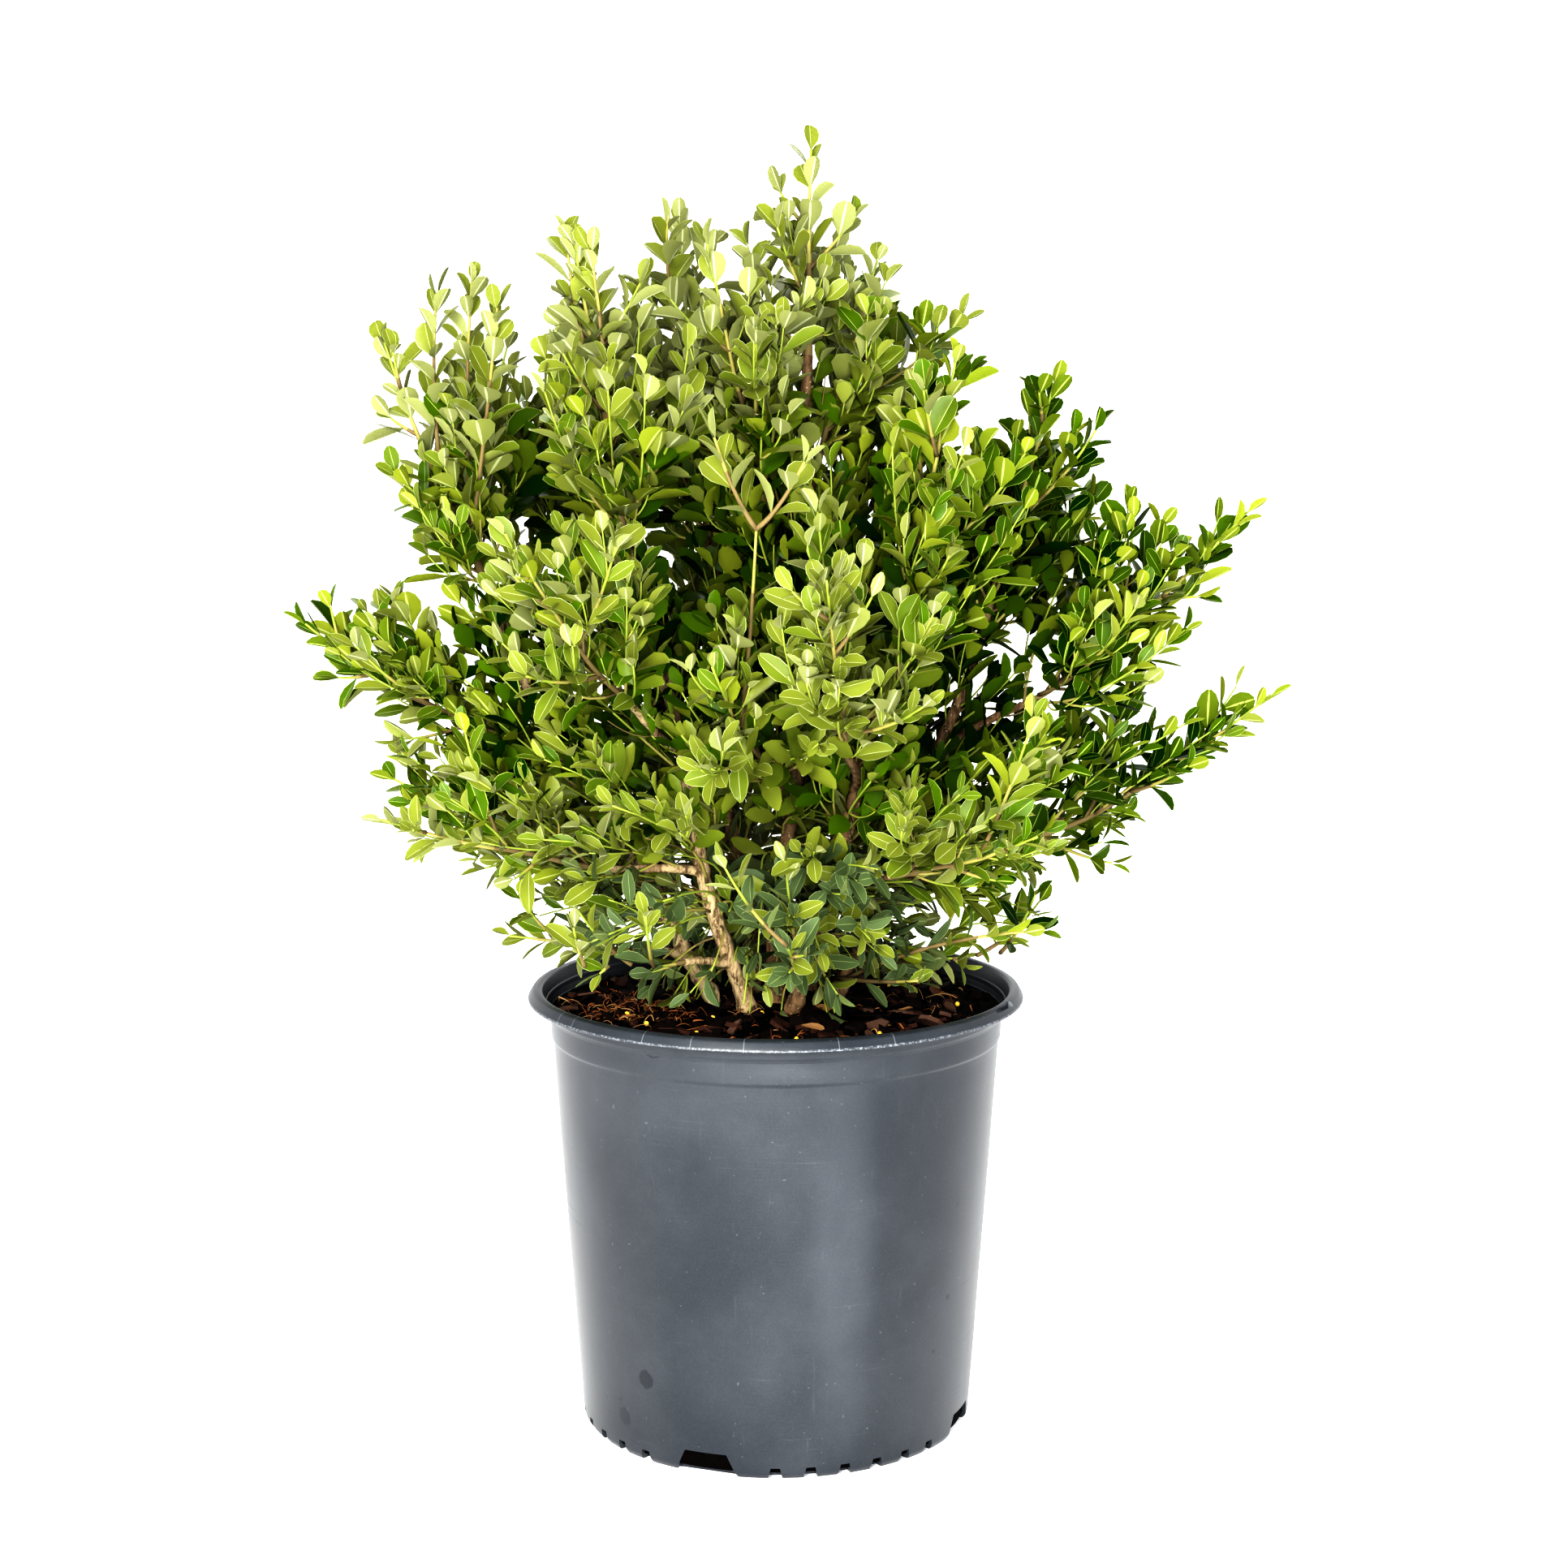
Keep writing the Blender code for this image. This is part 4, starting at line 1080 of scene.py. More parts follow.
def make_chips(look, materials):
    """Bark chips: plates that reach length r(a) cos a along and width r(a) sin a across at each
    turn a, with a ragged radius r(a), and curl up by cos^2 a."""
    draw = np.random.default_rng(SOIL_SEED + 10)
    count, corners = look.chips, 7
    places = scattered(draw, count, CHIP_BED)
    length = random_sizes(draw, count, CHIP_LENGTH, 2.2)
    width = length * draw.uniform(0.30, 0.85, count)
    thick = random_sizes(draw, count, CHIP_THICKNESS)
    along, across, up = tilted(draw, count, 0.30)
    turns = 2 * np.pi * (np.arange(corners) + draw.uniform(-0.3, 0.3, (count, corners))) / corners
    ragged = draw.uniform(0.62, 1.05, (count, corners))
    flat = spread(along, length[:, None] * ragged * np.cos(turns))
    flat = flat + spread(across, width[:, None] * ragged * np.sin(turns))
    flat = flat + spread(up, length[:, None] * 0.16 * np.cos(turns) ** 2 * draw.uniform(-1, 1, (count, 1)))
    middle = on_soil(places, thick + 0.0010)[:, None]
    rise = spread(up, thick[:, None])
    points = np.concatenate((middle + flat * 0.94 + rise, middle + flat - rise), axis=1)
    drawn_in(points, CHIP_REACH)
    points[..., 2] = np.minimum(points[..., 2], POT_HIGH[2] - 0.0005)
    here = np.arange(corners)
    there = (here + 1) % corners
    walls = np.stack((here + corners, there + corners, there, here), axis=1)
    parts = (here[None], here[None, ::-1] + corners, walls)
    faces = [repeated(part, count, 2 * corners) for part in parts]
    kind = draw.choice(len(materials), count, p=(0.66, 0.22, 0.12))
    looks = np.concatenate((kind, kind, np.repeat(kind, corners)))
    dress(add_piece("bark_chips", points, faces, materials, looks, smooth=False))


def make_crumbs(look, materials):
    """Soil crumbs: little eight-faced lumps with unequal half axes."""
    draw = np.random.default_rng(SOIL_SEED + 20)
    count = look.crumbs
    places = scattered(draw, count, CRUMB_BED)
    size = random_sizes(draw, count, CRUMB_RADIUS, 2)
    axes = np.array(((1, 0, 0), (0, 1, 0), (-1, 0, 0), (0, -1, 0), (0, 0, 1), (0, 0, -1)), float)
    axes = axes @ np.stack(tilted(draw, count, 0.8), axis=1)
    halves = size[:, None] * draw.uniform(0.6, 1.3, (count, 6))
    points = on_soil(places, size * 0.5)[:, None] + axes * halves[..., None]
    eight = np.array(((0, 1, 4), (1, 2, 4), (2, 3, 4), (3, 0, 4), (1, 0, 5), (2, 1, 5), (3, 2, 5), (0, 3, 5)))
    looks = np.repeat(draw.choice(len(materials), count, p=(0.70, 0.24, 0.06)), len(eight))
    faces = [repeated(eight, count, 6)]
    dress(add_piece("soil_crumbs", points, faces, materials, looks, smooth=False))


def make_shreds(look, materials):
    """Fibres and straws: thin three-sided tubes along low bows over the soil."""
    draw = np.random.default_rng(SOIL_SEED + 30)
    count, rows = look.shreds, 6
    places = scattered(draw, count, SHRED_BED)
    heap = draw.random(count) < 0.42
    places[heap] = np.array(SHRED_HEAP) + draw.normal(0.0, 0.017, (heap.sum(), 2))
    length = random_sizes(draw, count, SHRED_LENGTH, 1.8)[:, None]
    along, across, up = tilted(draw, count, 0.32)
    shares = np.linspace(-1.0, 1.0, rows)
    bend = draw.normal(0.0, 0.22, (count, 2))
    curve = length * (1 - shares**2)
    paths = on_soil(places, 0.0014)[:, None] + spread(along, length * shares / 2)
    paths = paths + spread(across, curve * bend[:, :1]) + spread(up, curve * np.abs(bend[:, 1:]))
    drawn_in(paths, SHRED_REACH)
    radii = random_sizes(draw, count, SHRED_RADIUS, 2)[:, None] * (1 - 0.5 * shares**2)
    points, *faces = tubes(paths, radii, 3)
    kind = draw.choice(len(materials), count, p=(0.50, 0.28, 0.22))
    looks = np.concatenate((np.repeat(kind, (rows - 1) * 3), np.repeat(kind, 2)))
    dress(add_piece("bark_shreds", points, faces, materials, looks))


def make_beads(look, material):
    """Plant food beads: balls whose point at turns a and b is (cos a cos b, sin a cos b, sin b)."""
    draw = np.random.default_rng(SOIL_SEED + 40)
    count = look.beads
    places = scattered(draw, count, BEAD_BED)
    size = draw.uniform(*BEAD_RADII, count)
    turns = np.linspace(-1, 1, 6) * np.pi / 2
    ball, faces = turned(np.stack((np.cos(turns), np.sin(turns)), axis=1), 8)
    points = on_soil(places, size)[:, None] + ball * size[:, None, None]
    faces = [repeated(part, count, len(ball)) for part in faces]
    dress(add_piece("feed_beads", points, faces, [material]))


def make_fallen(look, leaf, materials):
    """Dry leaves on the soil: the same blades as on the plant, curled and lying nearly flat."""
    draw = np.random.default_rng(SOIL_SEED + 50)
    count = look.fallen
    places = scattered(draw, count, BEAD_BED)
    places[0] = FALLEN_PLACE
    along, _, up = tilted(draw, count, 0.22)
    size = draw.uniform(0.45, 0.70, count)
    fold, droop = draw.uniform(0.3, 0.9, count), draw.uniform(-0.25, 0.25, count)
    rounds = draw.uniform(0.2, 1.0, count)
    length, width = leaf.length * size, leaf.width * size
    root = on_soil(places, 0.0028) - along * (length / 2)[:, None]
    points = leaf_points(FULL_LEAF, root, along, up, length, width, rounds, fold, droop, leaf.thickness)
    faces, parts = leaf_faces(FULL_LEAF, count)
    kind = np.arange(count) % len(materials)
    looks = np.concatenate((np.repeat(kind, len(parts)), np.repeat(kind, 2)))
    dress(add_piece("fallen_leaves", points, faces, materials, looks))


# The growth rule


def along_limb(limb, shares):
    """Points at these shares of a limb's bowed line, with its small sideways waves."""
    shares = np.asarray(shares, float)
    start, knee, end = limb["curve"]
    turns = 2 * math.pi * WAVES * shares + limb["phase"]
    sway = WANDER * np.linalg.norm(end - start) * np.sin(turns) * np.sin(math.pi * np.sqrt(shares))
    return bow(start, knee, end, shares) + limb["sideways"] * sway[:, None]


def new_limb(stem, mass, is_stem, root, place, number):
    """A stem or bough as a bowed curve that runs on to the tip of its mass, less its last
    leaves, with the way it sways and the site of its mass."""
    draw = random.Random(LIMB_SEED + number)
    tip = polar(*place)
    tip = tip - unit(tip - root) * LEAF_REACH
    knee = (root + tip) / 2
    if is_stem:
        knee[:2] += (tip - root)[:2] * STEM_BOW
    else:
        knee[2] -= BOUGH_BOW * np.linalg.norm((tip - root)[:2])
        knee[2] = max(knee[2], root[2] + BOUGH_RISE)
    limb = {"stem": stem, "mass": f"{stem}_{mass}", "is_stem": is_stem, "curve": (root, knee, tip)}
    limb["name"] = f"stem_{stem}" if is_stem else f"bough_{stem}_{mass}"
    limb["radii"] = STEM_RADII if is_stem else BOUGH_RADII
    limb["sideways"] = unit(np.cross(tip - root, polar(draw.uniform(0.0, 360.0), 1.0, 0.3)))
    limb["phase"] = draw.uniform(0.0, 2 * math.pi)
    limb["middle"] = STEM_SITE if is_stem else BOUGH_SITE
    limb["site"] = along_limb(limb, [limb["middle"]])[0]
    return limb


def plan_limbs():
    """Every stem and bough, ended where it enters its mass, and the sites of all masses."""
    limbs = []
    for stem, (azimuth, foot, masses) in STEMS.items():
        root = polar(azimuth, foot, SOIL_TOP + GAP)
        trunk = None
        for mass, (share, *place) in masses.items():
            if trunk:
                root = along_limb(trunk, [share])[0]
            limbs.append(new_limb(stem, mass, not trunk, root, place, len(limbs)))
            trunk = trunk or limbs[-1]
    sites = np.array([limb["site"] for limb in limbs])
    for index, limb in enumerate(limbs):
        shares = np.linspace(ENTRY_SHARE, limb["middle"], ENTRY_STEPS)
        inside = margin_in_space(along_limb(limb, shares), sites, index)
        limb["end"] = float(shares[int(np.argmax(inside > 4 * SPACE_MARGIN))])
    return limbs, sites


def margin_in_space(points, sites, index):
    """How far each point lies inside one mass's space, before the space of the nearest other."""
    own = sites[index]
    others = np.delete(sites, index, axis=0)
    near = ((points - own) ** 2).sum(-1)[..., None]
    far = ((points[..., None, :] - others) ** 2).sum(-1)
    return ((far - near) / (2 * np.linalg.norm(others - own, axis=1))).min(axis=-1)


def runs_of(limbs):
    """Every straight run of every limb's solid, as starts, ends and the wider radius."""
    runs = []
    for limb in limbs:
        count = STEM_POINTS if limb["is_stem"] else BOUGH_POINTS
        points = along_limb(limb, np.linspace(0.0, limb["end"], count))
        radii = np.linspace(*limb["radii"], count)
        if limb["is_stem"]:
            radii[0] *= FLARE
            points[1] = points[0] + (points[1] - points[0]) * FLARE_TOP
        runs.append((points[:-1], points[1:], radii[:-1]))
    return [np.concatenate(row) for row in zip(*runs)]


def limb_gap(points, runs):
    """The distance from each point to the nearest limb's surface."""
    starts, ends, radii = runs
    along = ends - starts
    share = ((points[..., None, :] - starts) * along).sum(-1) / (along**2).sum(-1)
    nearest = starts + np.clip(share, 0.0, 1.0)[..., None] * along
    return (np.linalg.norm(points[..., None, :] - nearest, axis=-1) - radii).min(axis=-1)


def above_pot(points):
    """For each point, if it is off the soil inside the rim, or above the crown's underside."""
    reach = np.linalg.norm(points[..., :2], axis=-1)
    inside = reach < POT_HIGH[0] - RIM_WIDTH - 2 * CLEARANCE
    slope = UNDERSIDE_SLOPE * np.maximum(reach - POT_HIGH[0], 0.0)
    floor = np.where(inside, SOIL_TOP + CLEARANCE, POT_HIGH[2] + RIM_CLEARANCE + slope)
    return points[..., 2] > floor


class Space:
    """The room that one mass may fill: its own share of the crown, clear of limbs and pot."""

    def __init__(self, limb, sites, runs, index):
        self.sites, self.runs, self.index = sites, runs, index
        self.axis = unit(limb["curve"][2] - HEART)
        self.reach = self.outness(limb["curve"][2]) + LEAF_REACH + REACH_SLACK

    def outness(self, points):
        """Distance from the crown's heart, with more for what lies off the mass's own axis."""
        away = points - HEART
        off = np.linalg.norm(away - (away @ self.axis)[..., None] * self.axis, axis=-1)
        return np.linalg.norm(away, axis=-1) + SHOULDER * off

    def holds(self, points):
        """True if a twig through the points stays in the space, inside its reach and off limbs."""
        if self.outness(points).max() > self.reach - TWIG_INSET or not above_pot(points).all():
            return False
        if margin_in_space(points, self.sites, self.index).min() < SPACE_MARGIN + TWIG_RADIUS:
            return False
        return limb_gap(points, self.runs).min() > CLEARANCE


class Crown:
    """All the masses' spaces as one crown, and how full of wood each small part of it is."""

    def __init__(self, limbs, spaces, runs):
        fills = np.array([polar(*fill) for fill in FILLS]) - HEART
        tips = np.array([space.reach for space in spaces]) - REACH_SLACK
        changes = np.array([REACH_CHANGES.get(limb["mass"], 0.0) for limb in limbs])
        self.axes = np.concatenate(([space.axis for space in spaces], unit(fills)))
        self.reaches = np.concatenate((tips + FINE_SLACK + changes, np.linalg.norm(fills, axis=1)))
        self.runs = runs
        self.crowd = {}

    def depth(self, points):
        """How far inside the crown's skin each point lies. The skin is the union of the masses'
        domes, each falling away from its own axis, steeply at first."""
        away = points - HEART
        along = away @ self.axes.T
        reach = np.linalg.norm(away, axis=-1)[..., None]
        off = np.sqrt(np.maximum(reach**2 - along**2, 0.0))
        fall = SPIRE_SLOPE * np.minimum(off, SPIRE_WIDTH) + DOME_SLOPE * np.maximum(off - SPIRE_WIDTH, 0.0)
        domes = (self.reaches - reach - np.where(along > 0, fall, 1.0)).max(axis=-1)
        skirt = SKIRT_RADIUS - np.linalg.norm(points[..., :2], axis=-1)
        return np.maximum(domes, np.where(points[..., 2] < SKIRT_TOP, skirt, -1.0))

    def takes(self, path, inset, crowd):
        """True if there is room for a shoot along this path, which is then counted in."""
        outer = path[len(path) // 2 :]
        cells = {tuple(cell) for cell in (outer // ROOM_CELL).astype(int)}
        crowd = crowd + (np.linalg.norm(outer[-1] - FULLER_PLACE) < FULLER_RADIUS)
        if any(self.crowd.get(cell, 0) >= crowd for cell in cells):
            return False
        if self.depth(outer).min() < inset or not above_pot(outer).all():
            return False
        if limb_gap(outer, self.runs).min() < WOOD_CLEARANCE:
            return False
        for cell in cells:
            self.crowd[cell] = self.crowd.get(cell, 0) + 1
        return True

    def trimmed(self, path):
        """The part of a path inside the crown's skin, in as many points as before."""
        inside = self.depth(path) > WOOD_INSET
        if inside.all() or not inside[0]:
            return path
        last = max(int(np.argmin(inside)) - 1, 2)
        return at_shares(path, np.arange(len(path)), np.linspace(0.0, last, len(path)))


def along_path(path, shares):
    """The points, tangents and two normals at shares of a path, the normals without twist."""
    tangents = unit(np.gradient(path, axis=0))
    spare = upright(1.0) if abs(tangents[0][2]) < 0.9 else np.array((1.0, 0.0, 0.0))
    normals = [unit(np.cross(tangents[0], spare))]
    for tangent in tangents:
        normals.append(unit(normals[-1] - tangent * normals[-1].dot(tangent)))
    normals = np.array(normals[1:])
    knots = np.linspace(0.0, 1.0, len(path))
    return [at_shares(row, knots, shares) for row in (path, tangents, normals, np.cross(tangents, normals))]


def leaning(tangent, one, two, turn, lean):
    """The way out of a path at this turn about it, leaning this far off its tangent."""
    side = one * math.cos(turn) + two * math.sin(turn)
    return unit(tangent * math.cos(lean) + side * math.sin(lean))


def side_twigs(path, space):
    """The side twigs of one mass, as in its solid: a golden turn apart, leaning out and rising."""
    draw = random.Random(TWIG_SEED + space.index)
    first, last = TWIG_SHARES
    made = []
    for number in range(TWIGS):
        share = first + (last - first) * number / (TWIGS - 1)
        at, tangent, one, two = along_path(path, share)
        turn = GOLDEN_TURN * number + draw.uniform(-TURN_SPREAD, TURN_SPREAD) + space.index
        way = leaning(tangent, one, two, turn, TWIG_LEAN + draw.uniform(-LEAN_SPREAD, LEAN_SPREAD))
        length = TWIG_LENGTH * (1 - TWIG_FALL * share) * (1 + draw.uniform(-LENGTH_SPREAD, LENGTH_SPREAD))
        while length > TWIG_SHORTEST:
            knee = at + way * length / 2
            tip = at + way * length * TWIG_OUT + upright(TWIG_RISE * length)
            if space.holds(bow(at, knee, tip, np.linspace(0.0, 1.0, TWIG_POINTS))[1:]):
                made.append(bow(at, knee, tip, np.linspace(0.0, 1.0, 12)))
                break
            length *= TWIG_CUT
    return made


def growth(at):
    """The way that shoots bend to at a place: outward low in the crown, and more upward higher."""
    rise = np.interp(at[2], GROWTH_HEIGHTS, GROWTH_RISES)
    return unit(unit(at - upright(GROWTH_HEART) + upright(0.001)) + upright(rise))


def length_of(path):
    """Length of a path."""
    return np.linalg.norm(np.diff(path, axis=0), axis=1).sum()


def fine_wood(path, crown, draw, kind, first, last):
    """Shoots along a path by the rule of the side twigs: a golden turn apart, leaning out and
    then rising, shorter towards the path's tip, and only where there is room."""
    length = length_of(path)
    count = max(1, round(length * (last - first) / kind["step"]))
    start = draw.uniform(0.0, 2 * math.pi)
    made = []
    for number in range(count):
        share = first + (last - first) * (number + draw.uniform(0.1, 0.9)) / count
        at, tangent, one, two = along_path(path, share)
        turn = start + GOLDEN_TURN * number + draw.uniform(-TURN_SPREAD, TURN_SPREAD)
        lean = math.radians(kind["lean"]) + draw.uniform(-2 * LEAN_SPREAD, 2 * LEAN_SPREAD)
        way = leaning(tangent, one, two, turn, lean)
        stray = np.array([draw.gauss(0.0, SHOOT_STRAY) for _ in range(3)])
        on = unit(growth(at) + SHOOT_WAY * way + stray)
        inset = draw.uniform(*kind["inset"]) + kind["sunk"] * np.interp(at[2], SUNK_HEIGHTS, (0.0, 1.0))
        long = draw.uniform(*kind["length"])
        if kind["shorten"]:
            long = min(long, TIP_LEAST + TIP_SHARE * length * (1 - share))
        while long > kind["least"]:
            knee = at + way * long * KNEE_SHARE
            shoot = bow(at, knee, knee + on * long * (1 - KNEE_SHARE), FINE_SHARES)
            if crown.takes(shoot, inset, kind["crowd"]):
                made.append(shoot)
                break
            long *= FINE_CUT
    return made


def leaf_places(path, draw, spacing, first, bare):
    """Opposite pairs of leaves along one shoot, each pair a quarter turn on, closing up and
    folding forward towards the tip. Returns for all its leaves: root, way, face (the upper
    side's normal), size and share along the shoot."""
    pairs = max(2, round(length_of(path) * (1 - first) / spacing))
    steps = 1 - ((pairs - 1 - np.arange(pairs)) / max(pairs - 0.4, 1)) ** 1.12
    shares = np.clip(first + (1 - first) * steps, 0.0, 1.0)
    at, tangent, one, two = (np.repeat(row, 2, axis=0) for row in along_path(path, shares))
    ages = np.repeat(shares, 2)
    count = 2 * pairs
    start = draw.uniform(0.0, np.pi)
    turns = start + np.repeat(np.arange(pairs), 2) * PAIR_TURN + np.tile((0.0, np.pi), pairs)
    turns = turns + draw.normal(0.0, 0.16, count)
    side = one * np.cos(turns)[:, None] + two * np.sin(turns)[:, None]
    near_tip = np.clip((ages - 0.55) / 0.45, 0.0, 1.0)
    lean = np.radians(LEAF_LEAN - LEAF_CLOSING * near_tip**1.3) + draw.normal(0.0, 0.15, count)
    way = unit(tangent * np.cos(lean)[:, None] + side * np.sin(lean)[:, None] + upright(0.14))
    up = unit(tangent + upright(0.30) + draw.normal(0.0, 0.28, (count, 3)))
    face = unit(up - way * (up * way).sum(-1, keepdims=True))
    size = (0.86 + 0.22 * np.sin(np.pi * np.clip(ages, 0.0, 1.0) ** 0.8)) * (1 - 0.24 * near_tip)
    size = size * np.clip(draw.normal(1.0, 0.10, count), 0.72, 1.25)
    left = draw.random(count) > bare * (1 - ages)
    return [row[left] for row in (at + side * STALK, way, face, size, ages)]


def leaf_points(shape, root, way, face, length, width, roundness, fold, droop, thickness):
    """Points of many leaves, each a closed blade.

    With u from 0 at the stalk to 1 at the tip and v from -1 to 1 across, the upper side is
    root + way L (u - droop u^2 / 3) + side (W/2) w(u) v cos(fold)
    + face ((W/2) w(u) |v| sin(fold) - L droop u^2), where w(u) is the outline's half width,
    between its long and its round kind. The underside is the same less the thickness.
    """
    round_, fold, droop = roundness[:, None], fold[:, None, None], droop[:, None, None]
    length, width = length[:, None, None], width[:, None, None]
    u = np.array(shape["u"])[:, None]
    outline = (np.array(shape["long"]) * (1 - round_) + np.array(shape["round"]) * round_)[..., None]
    across = np.concatenate((shape["upper"], shape["lower"]))
    sunk = np.repeat((0.0, -1.0), (len(shape["upper"]), len(shape["lower"])))
    half = width / 2 * outline * across
    notch = np.where(u == 1.0, -0.02 * (1 - across**2), 0.0)
    run = length * (u - droop * u**2 / 3 + notch)
    lift = np.abs(half) * np.sin(fold) - length * droop * u**2
    lift = lift + thickness * sunk * np.minimum(1.0, 0.45 + outline)
    run, aside, lift = (row.reshape(len(root), -1) for row in (run, half * np.cos(fold), lift))
    return root[:, None] + spread(way, run) + spread(np.cross(face, way), aside) + spread(face, lift)


def leaf_faces(shape, count):
    """Faces of this many leaves, and the part that each face of one leaf is, less its two end
    faces: 0 blade, 1 edge and rib, 2 underside, 3 its rib."""
    uppers, lowers, rows = len(shape["upper"]), len(shape["lower"]), len(shape["u"])
    width = uppers + lowers
    starts = width * np.arange(rows - 1)[:, None]
    upper = np.arange(uppers)
    lower = np.concatenate(((0,), uppers + np.arange(lowers), (uppers - 1,)))
    one, two = starts + upper[:-1], starts + upper[1:]
    top = np.stack((one, one + width, two + width, two), axis=-1).reshape(-1, 4)
    one, two = starts + lower[:-1], starts + lower[1:]
    under = np.stack((one, two, two + width, one + width), axis=-1).reshape(-1, 4)
    rim = np.concatenate((upper, lower[-2:0:-1]))
    caps = np.stack((rim, rim[::-1] + width * (rows - 1)))
    parts = np.concatenate([np.tile(part, rows - 1) for part in shape["parts"]])
    return [repeated(part, count, rows * width) for part in (np.concatenate((top, under)), caps)], parts


def leaves_of(groups, crown, dice, look):
    """All the leaves of one mass that keep in the crown and off wood and pot, each with its
    tone and depth. A leaf is newer near a shoot's tip. By the tables for its height it is
    painted lighter near the middle, in front and on the left, where the light falls, and
    darker with depth and on the right, as painted shade."""
    rows = []
    for path, first, bare, slack in groups:
        places = leaf_places(path, dice, look.spacing, first, bare)
        alike = np.ones(len(places[0]))
        rows.append((*places, alike * dice.normal(0.0, TONE_SHOOT), alike * slack))
    root, way, face, size, age, tint, slack = (np.concatenate(row) for row in zip(*rows))
    size = size * np.interp(root[:, 2], (0.26, 0.42), (0.90, 1.0))
    length = look.length * size
    tests = root[:, None] + spread(way, length[:, None] * LEAF_TESTS)
    held = (crown.depth(tests) > -slack[:, None]).all(axis=1) & above_pot(tests).all(axis=1)
    held &= (limb_gap(tests, crown.runs) > LEAF_CLEARANCE).all(axis=1)
    for x, foot, lean, top, half, near in WINDOWS:
        off = np.abs(tests[..., 0] - x - lean * (tests[..., 2] - foot))
        before = (tests[..., 1] < near) & (tests[..., 2] < top) & (tests[..., 2] > foot - 0.01)
        held &= ~((off < half) & before).any(axis=1)
    depth = crown.depth(tests[:, 1])
    height = (root[:, 2] - SOIL_TOP) / (CAD_BOX[1][2] - SOIL_TOP)
    # Painted light: leaves near the middle and in front are dealt lighter tones
    middle = np.interp(height, TONE_HEIGHTS, TONE_MIDDLE_LIGHT) * np.exp(-((root[:, 0] / 0.1) ** 2))
    front = np.interp(height, (0.3, 0.5), (4.0, 2.4)) * np.clip(-root[:, 1] - 0.06, 0.0, 0.14) + middle
    # Painted shade: leaves deeper inside the crown are dealt darker tones
    depth_shade = np.interp(height, TONE_HEIGHTS, TONE_DEPTH_SHADE) * np.clip(depth - 0.012, 0.0, 0.16)
    tint = tint * np.interp(height, (0.3, 0.5), (1.7, 1.0))
    tone = TONE_START - TONE_TIP * age**3 + depth_shade + TONE_RISE * (height - 0.5) + tint - front
    # Painted light and shade: lighter tones on the left, darker on the right
    tone = tone + np.interp(height, SIDE_HEIGHTS, SIDE_SHADE_SLOPE) * root[:, 0]
    tone = tone + np.interp(height, SIDE_HEIGHTS, RIGHT_SHADE) * np.clip(root[:, 0], 0.0, 0.2)
    tone = tone + dice.normal(0.0, TONE_LEAF, len(root))
    tone = np.clip(np.round(tone * (TONES - 1)), 0, TONES - 1).astype(int)
    low = (height < DUSTY_TOP) & (np.hypot(root[:, 0] + 0.01, root[:, 1] + 0.04) < 0.10)
    tone = np.where(low & (dice.random(len(root)) < DUSTY_SHARE), DUSTY, tone)
    return [row[held] for row in (root, way, face, length, size, tone, depth)]


def grow(look):
    """Every limb, twig, shoot and leaf of the plant, by stem."""
    limbs, sites = plan_limbs()
    runs = runs_of(limbs)
    spaces = [Space(limb, sites, runs, index) for index, limb in enumerate(limbs)]
    crown = Crown(limbs, spaces, runs)
    grown = []
    for index, (limb, space) in enumerate(zip(limbs, spaces)):
        end = limb["end"]
        tip = 1.0 + TIP_GAIN / np.linalg.norm(limb["curve"][2] - limb["curve"][0])
        coarse = along_limb(limb, np.linspace(end, 1.0, SPRAY_POINTS))
        row = {kind: [] for kind in (*WOOD, "foot", "leafless")}
        row["limb"], row["draw"] = limb, random.Random(FINE_SEED + index)
        row["spray"] = [crown.trimmed(along_limb(limb, np.linspace(end - SPRAY_START, tip, 28)))]
        row["twigs"] = [crown.trimmed(twig) for twig in side_twigs(coarse, space)]
        row["wood"] = [along_limb(limb, np.linspace(0.05, end, 20))]
        if limb["is_stem"]:
            row["foot"] = [along_limb(limb, np.linspace(*LOW_SHARES, 12))]
        grown.append(row)
    for name, kind in SHOOTS.items():
        for row in grown:
            for parent, first, last in kind["from"]:
                for path in row[parent]:
                    row[name] += fine_wood(path, crown, row["draw"], kind, first, last)
    for mass, start, knee, tip, leafless in STRAYS:
        row = next(row for row in grown if row["limb"]["mass"] == mass)
        row["stray"].append(bow(start, np.array(knee), np.array(tip), FINE_SHARES))
        row["leafless"].append(leafless)
    for index, row in enumerate(grown):
        groups = []
        for kind, (*_, first, bare) in WOOD.items():
            if first is not None:
                groups += [(path, first, bare, LEAF_SLACK) for path in row[kind]]
        groups += [(path, first, 0.0, STRAY_SLACK) for path, first in zip(row["stray"], row["leafless"])]
        row["leaves"] = leaves_of(groups, crown, np.random.default_rng(FINE_SEED + 500 + index), look)
    return {stem: [row for row in grown if row["limb"]["stem"] == stem] for stem in STEMS}


# Wood and leaves


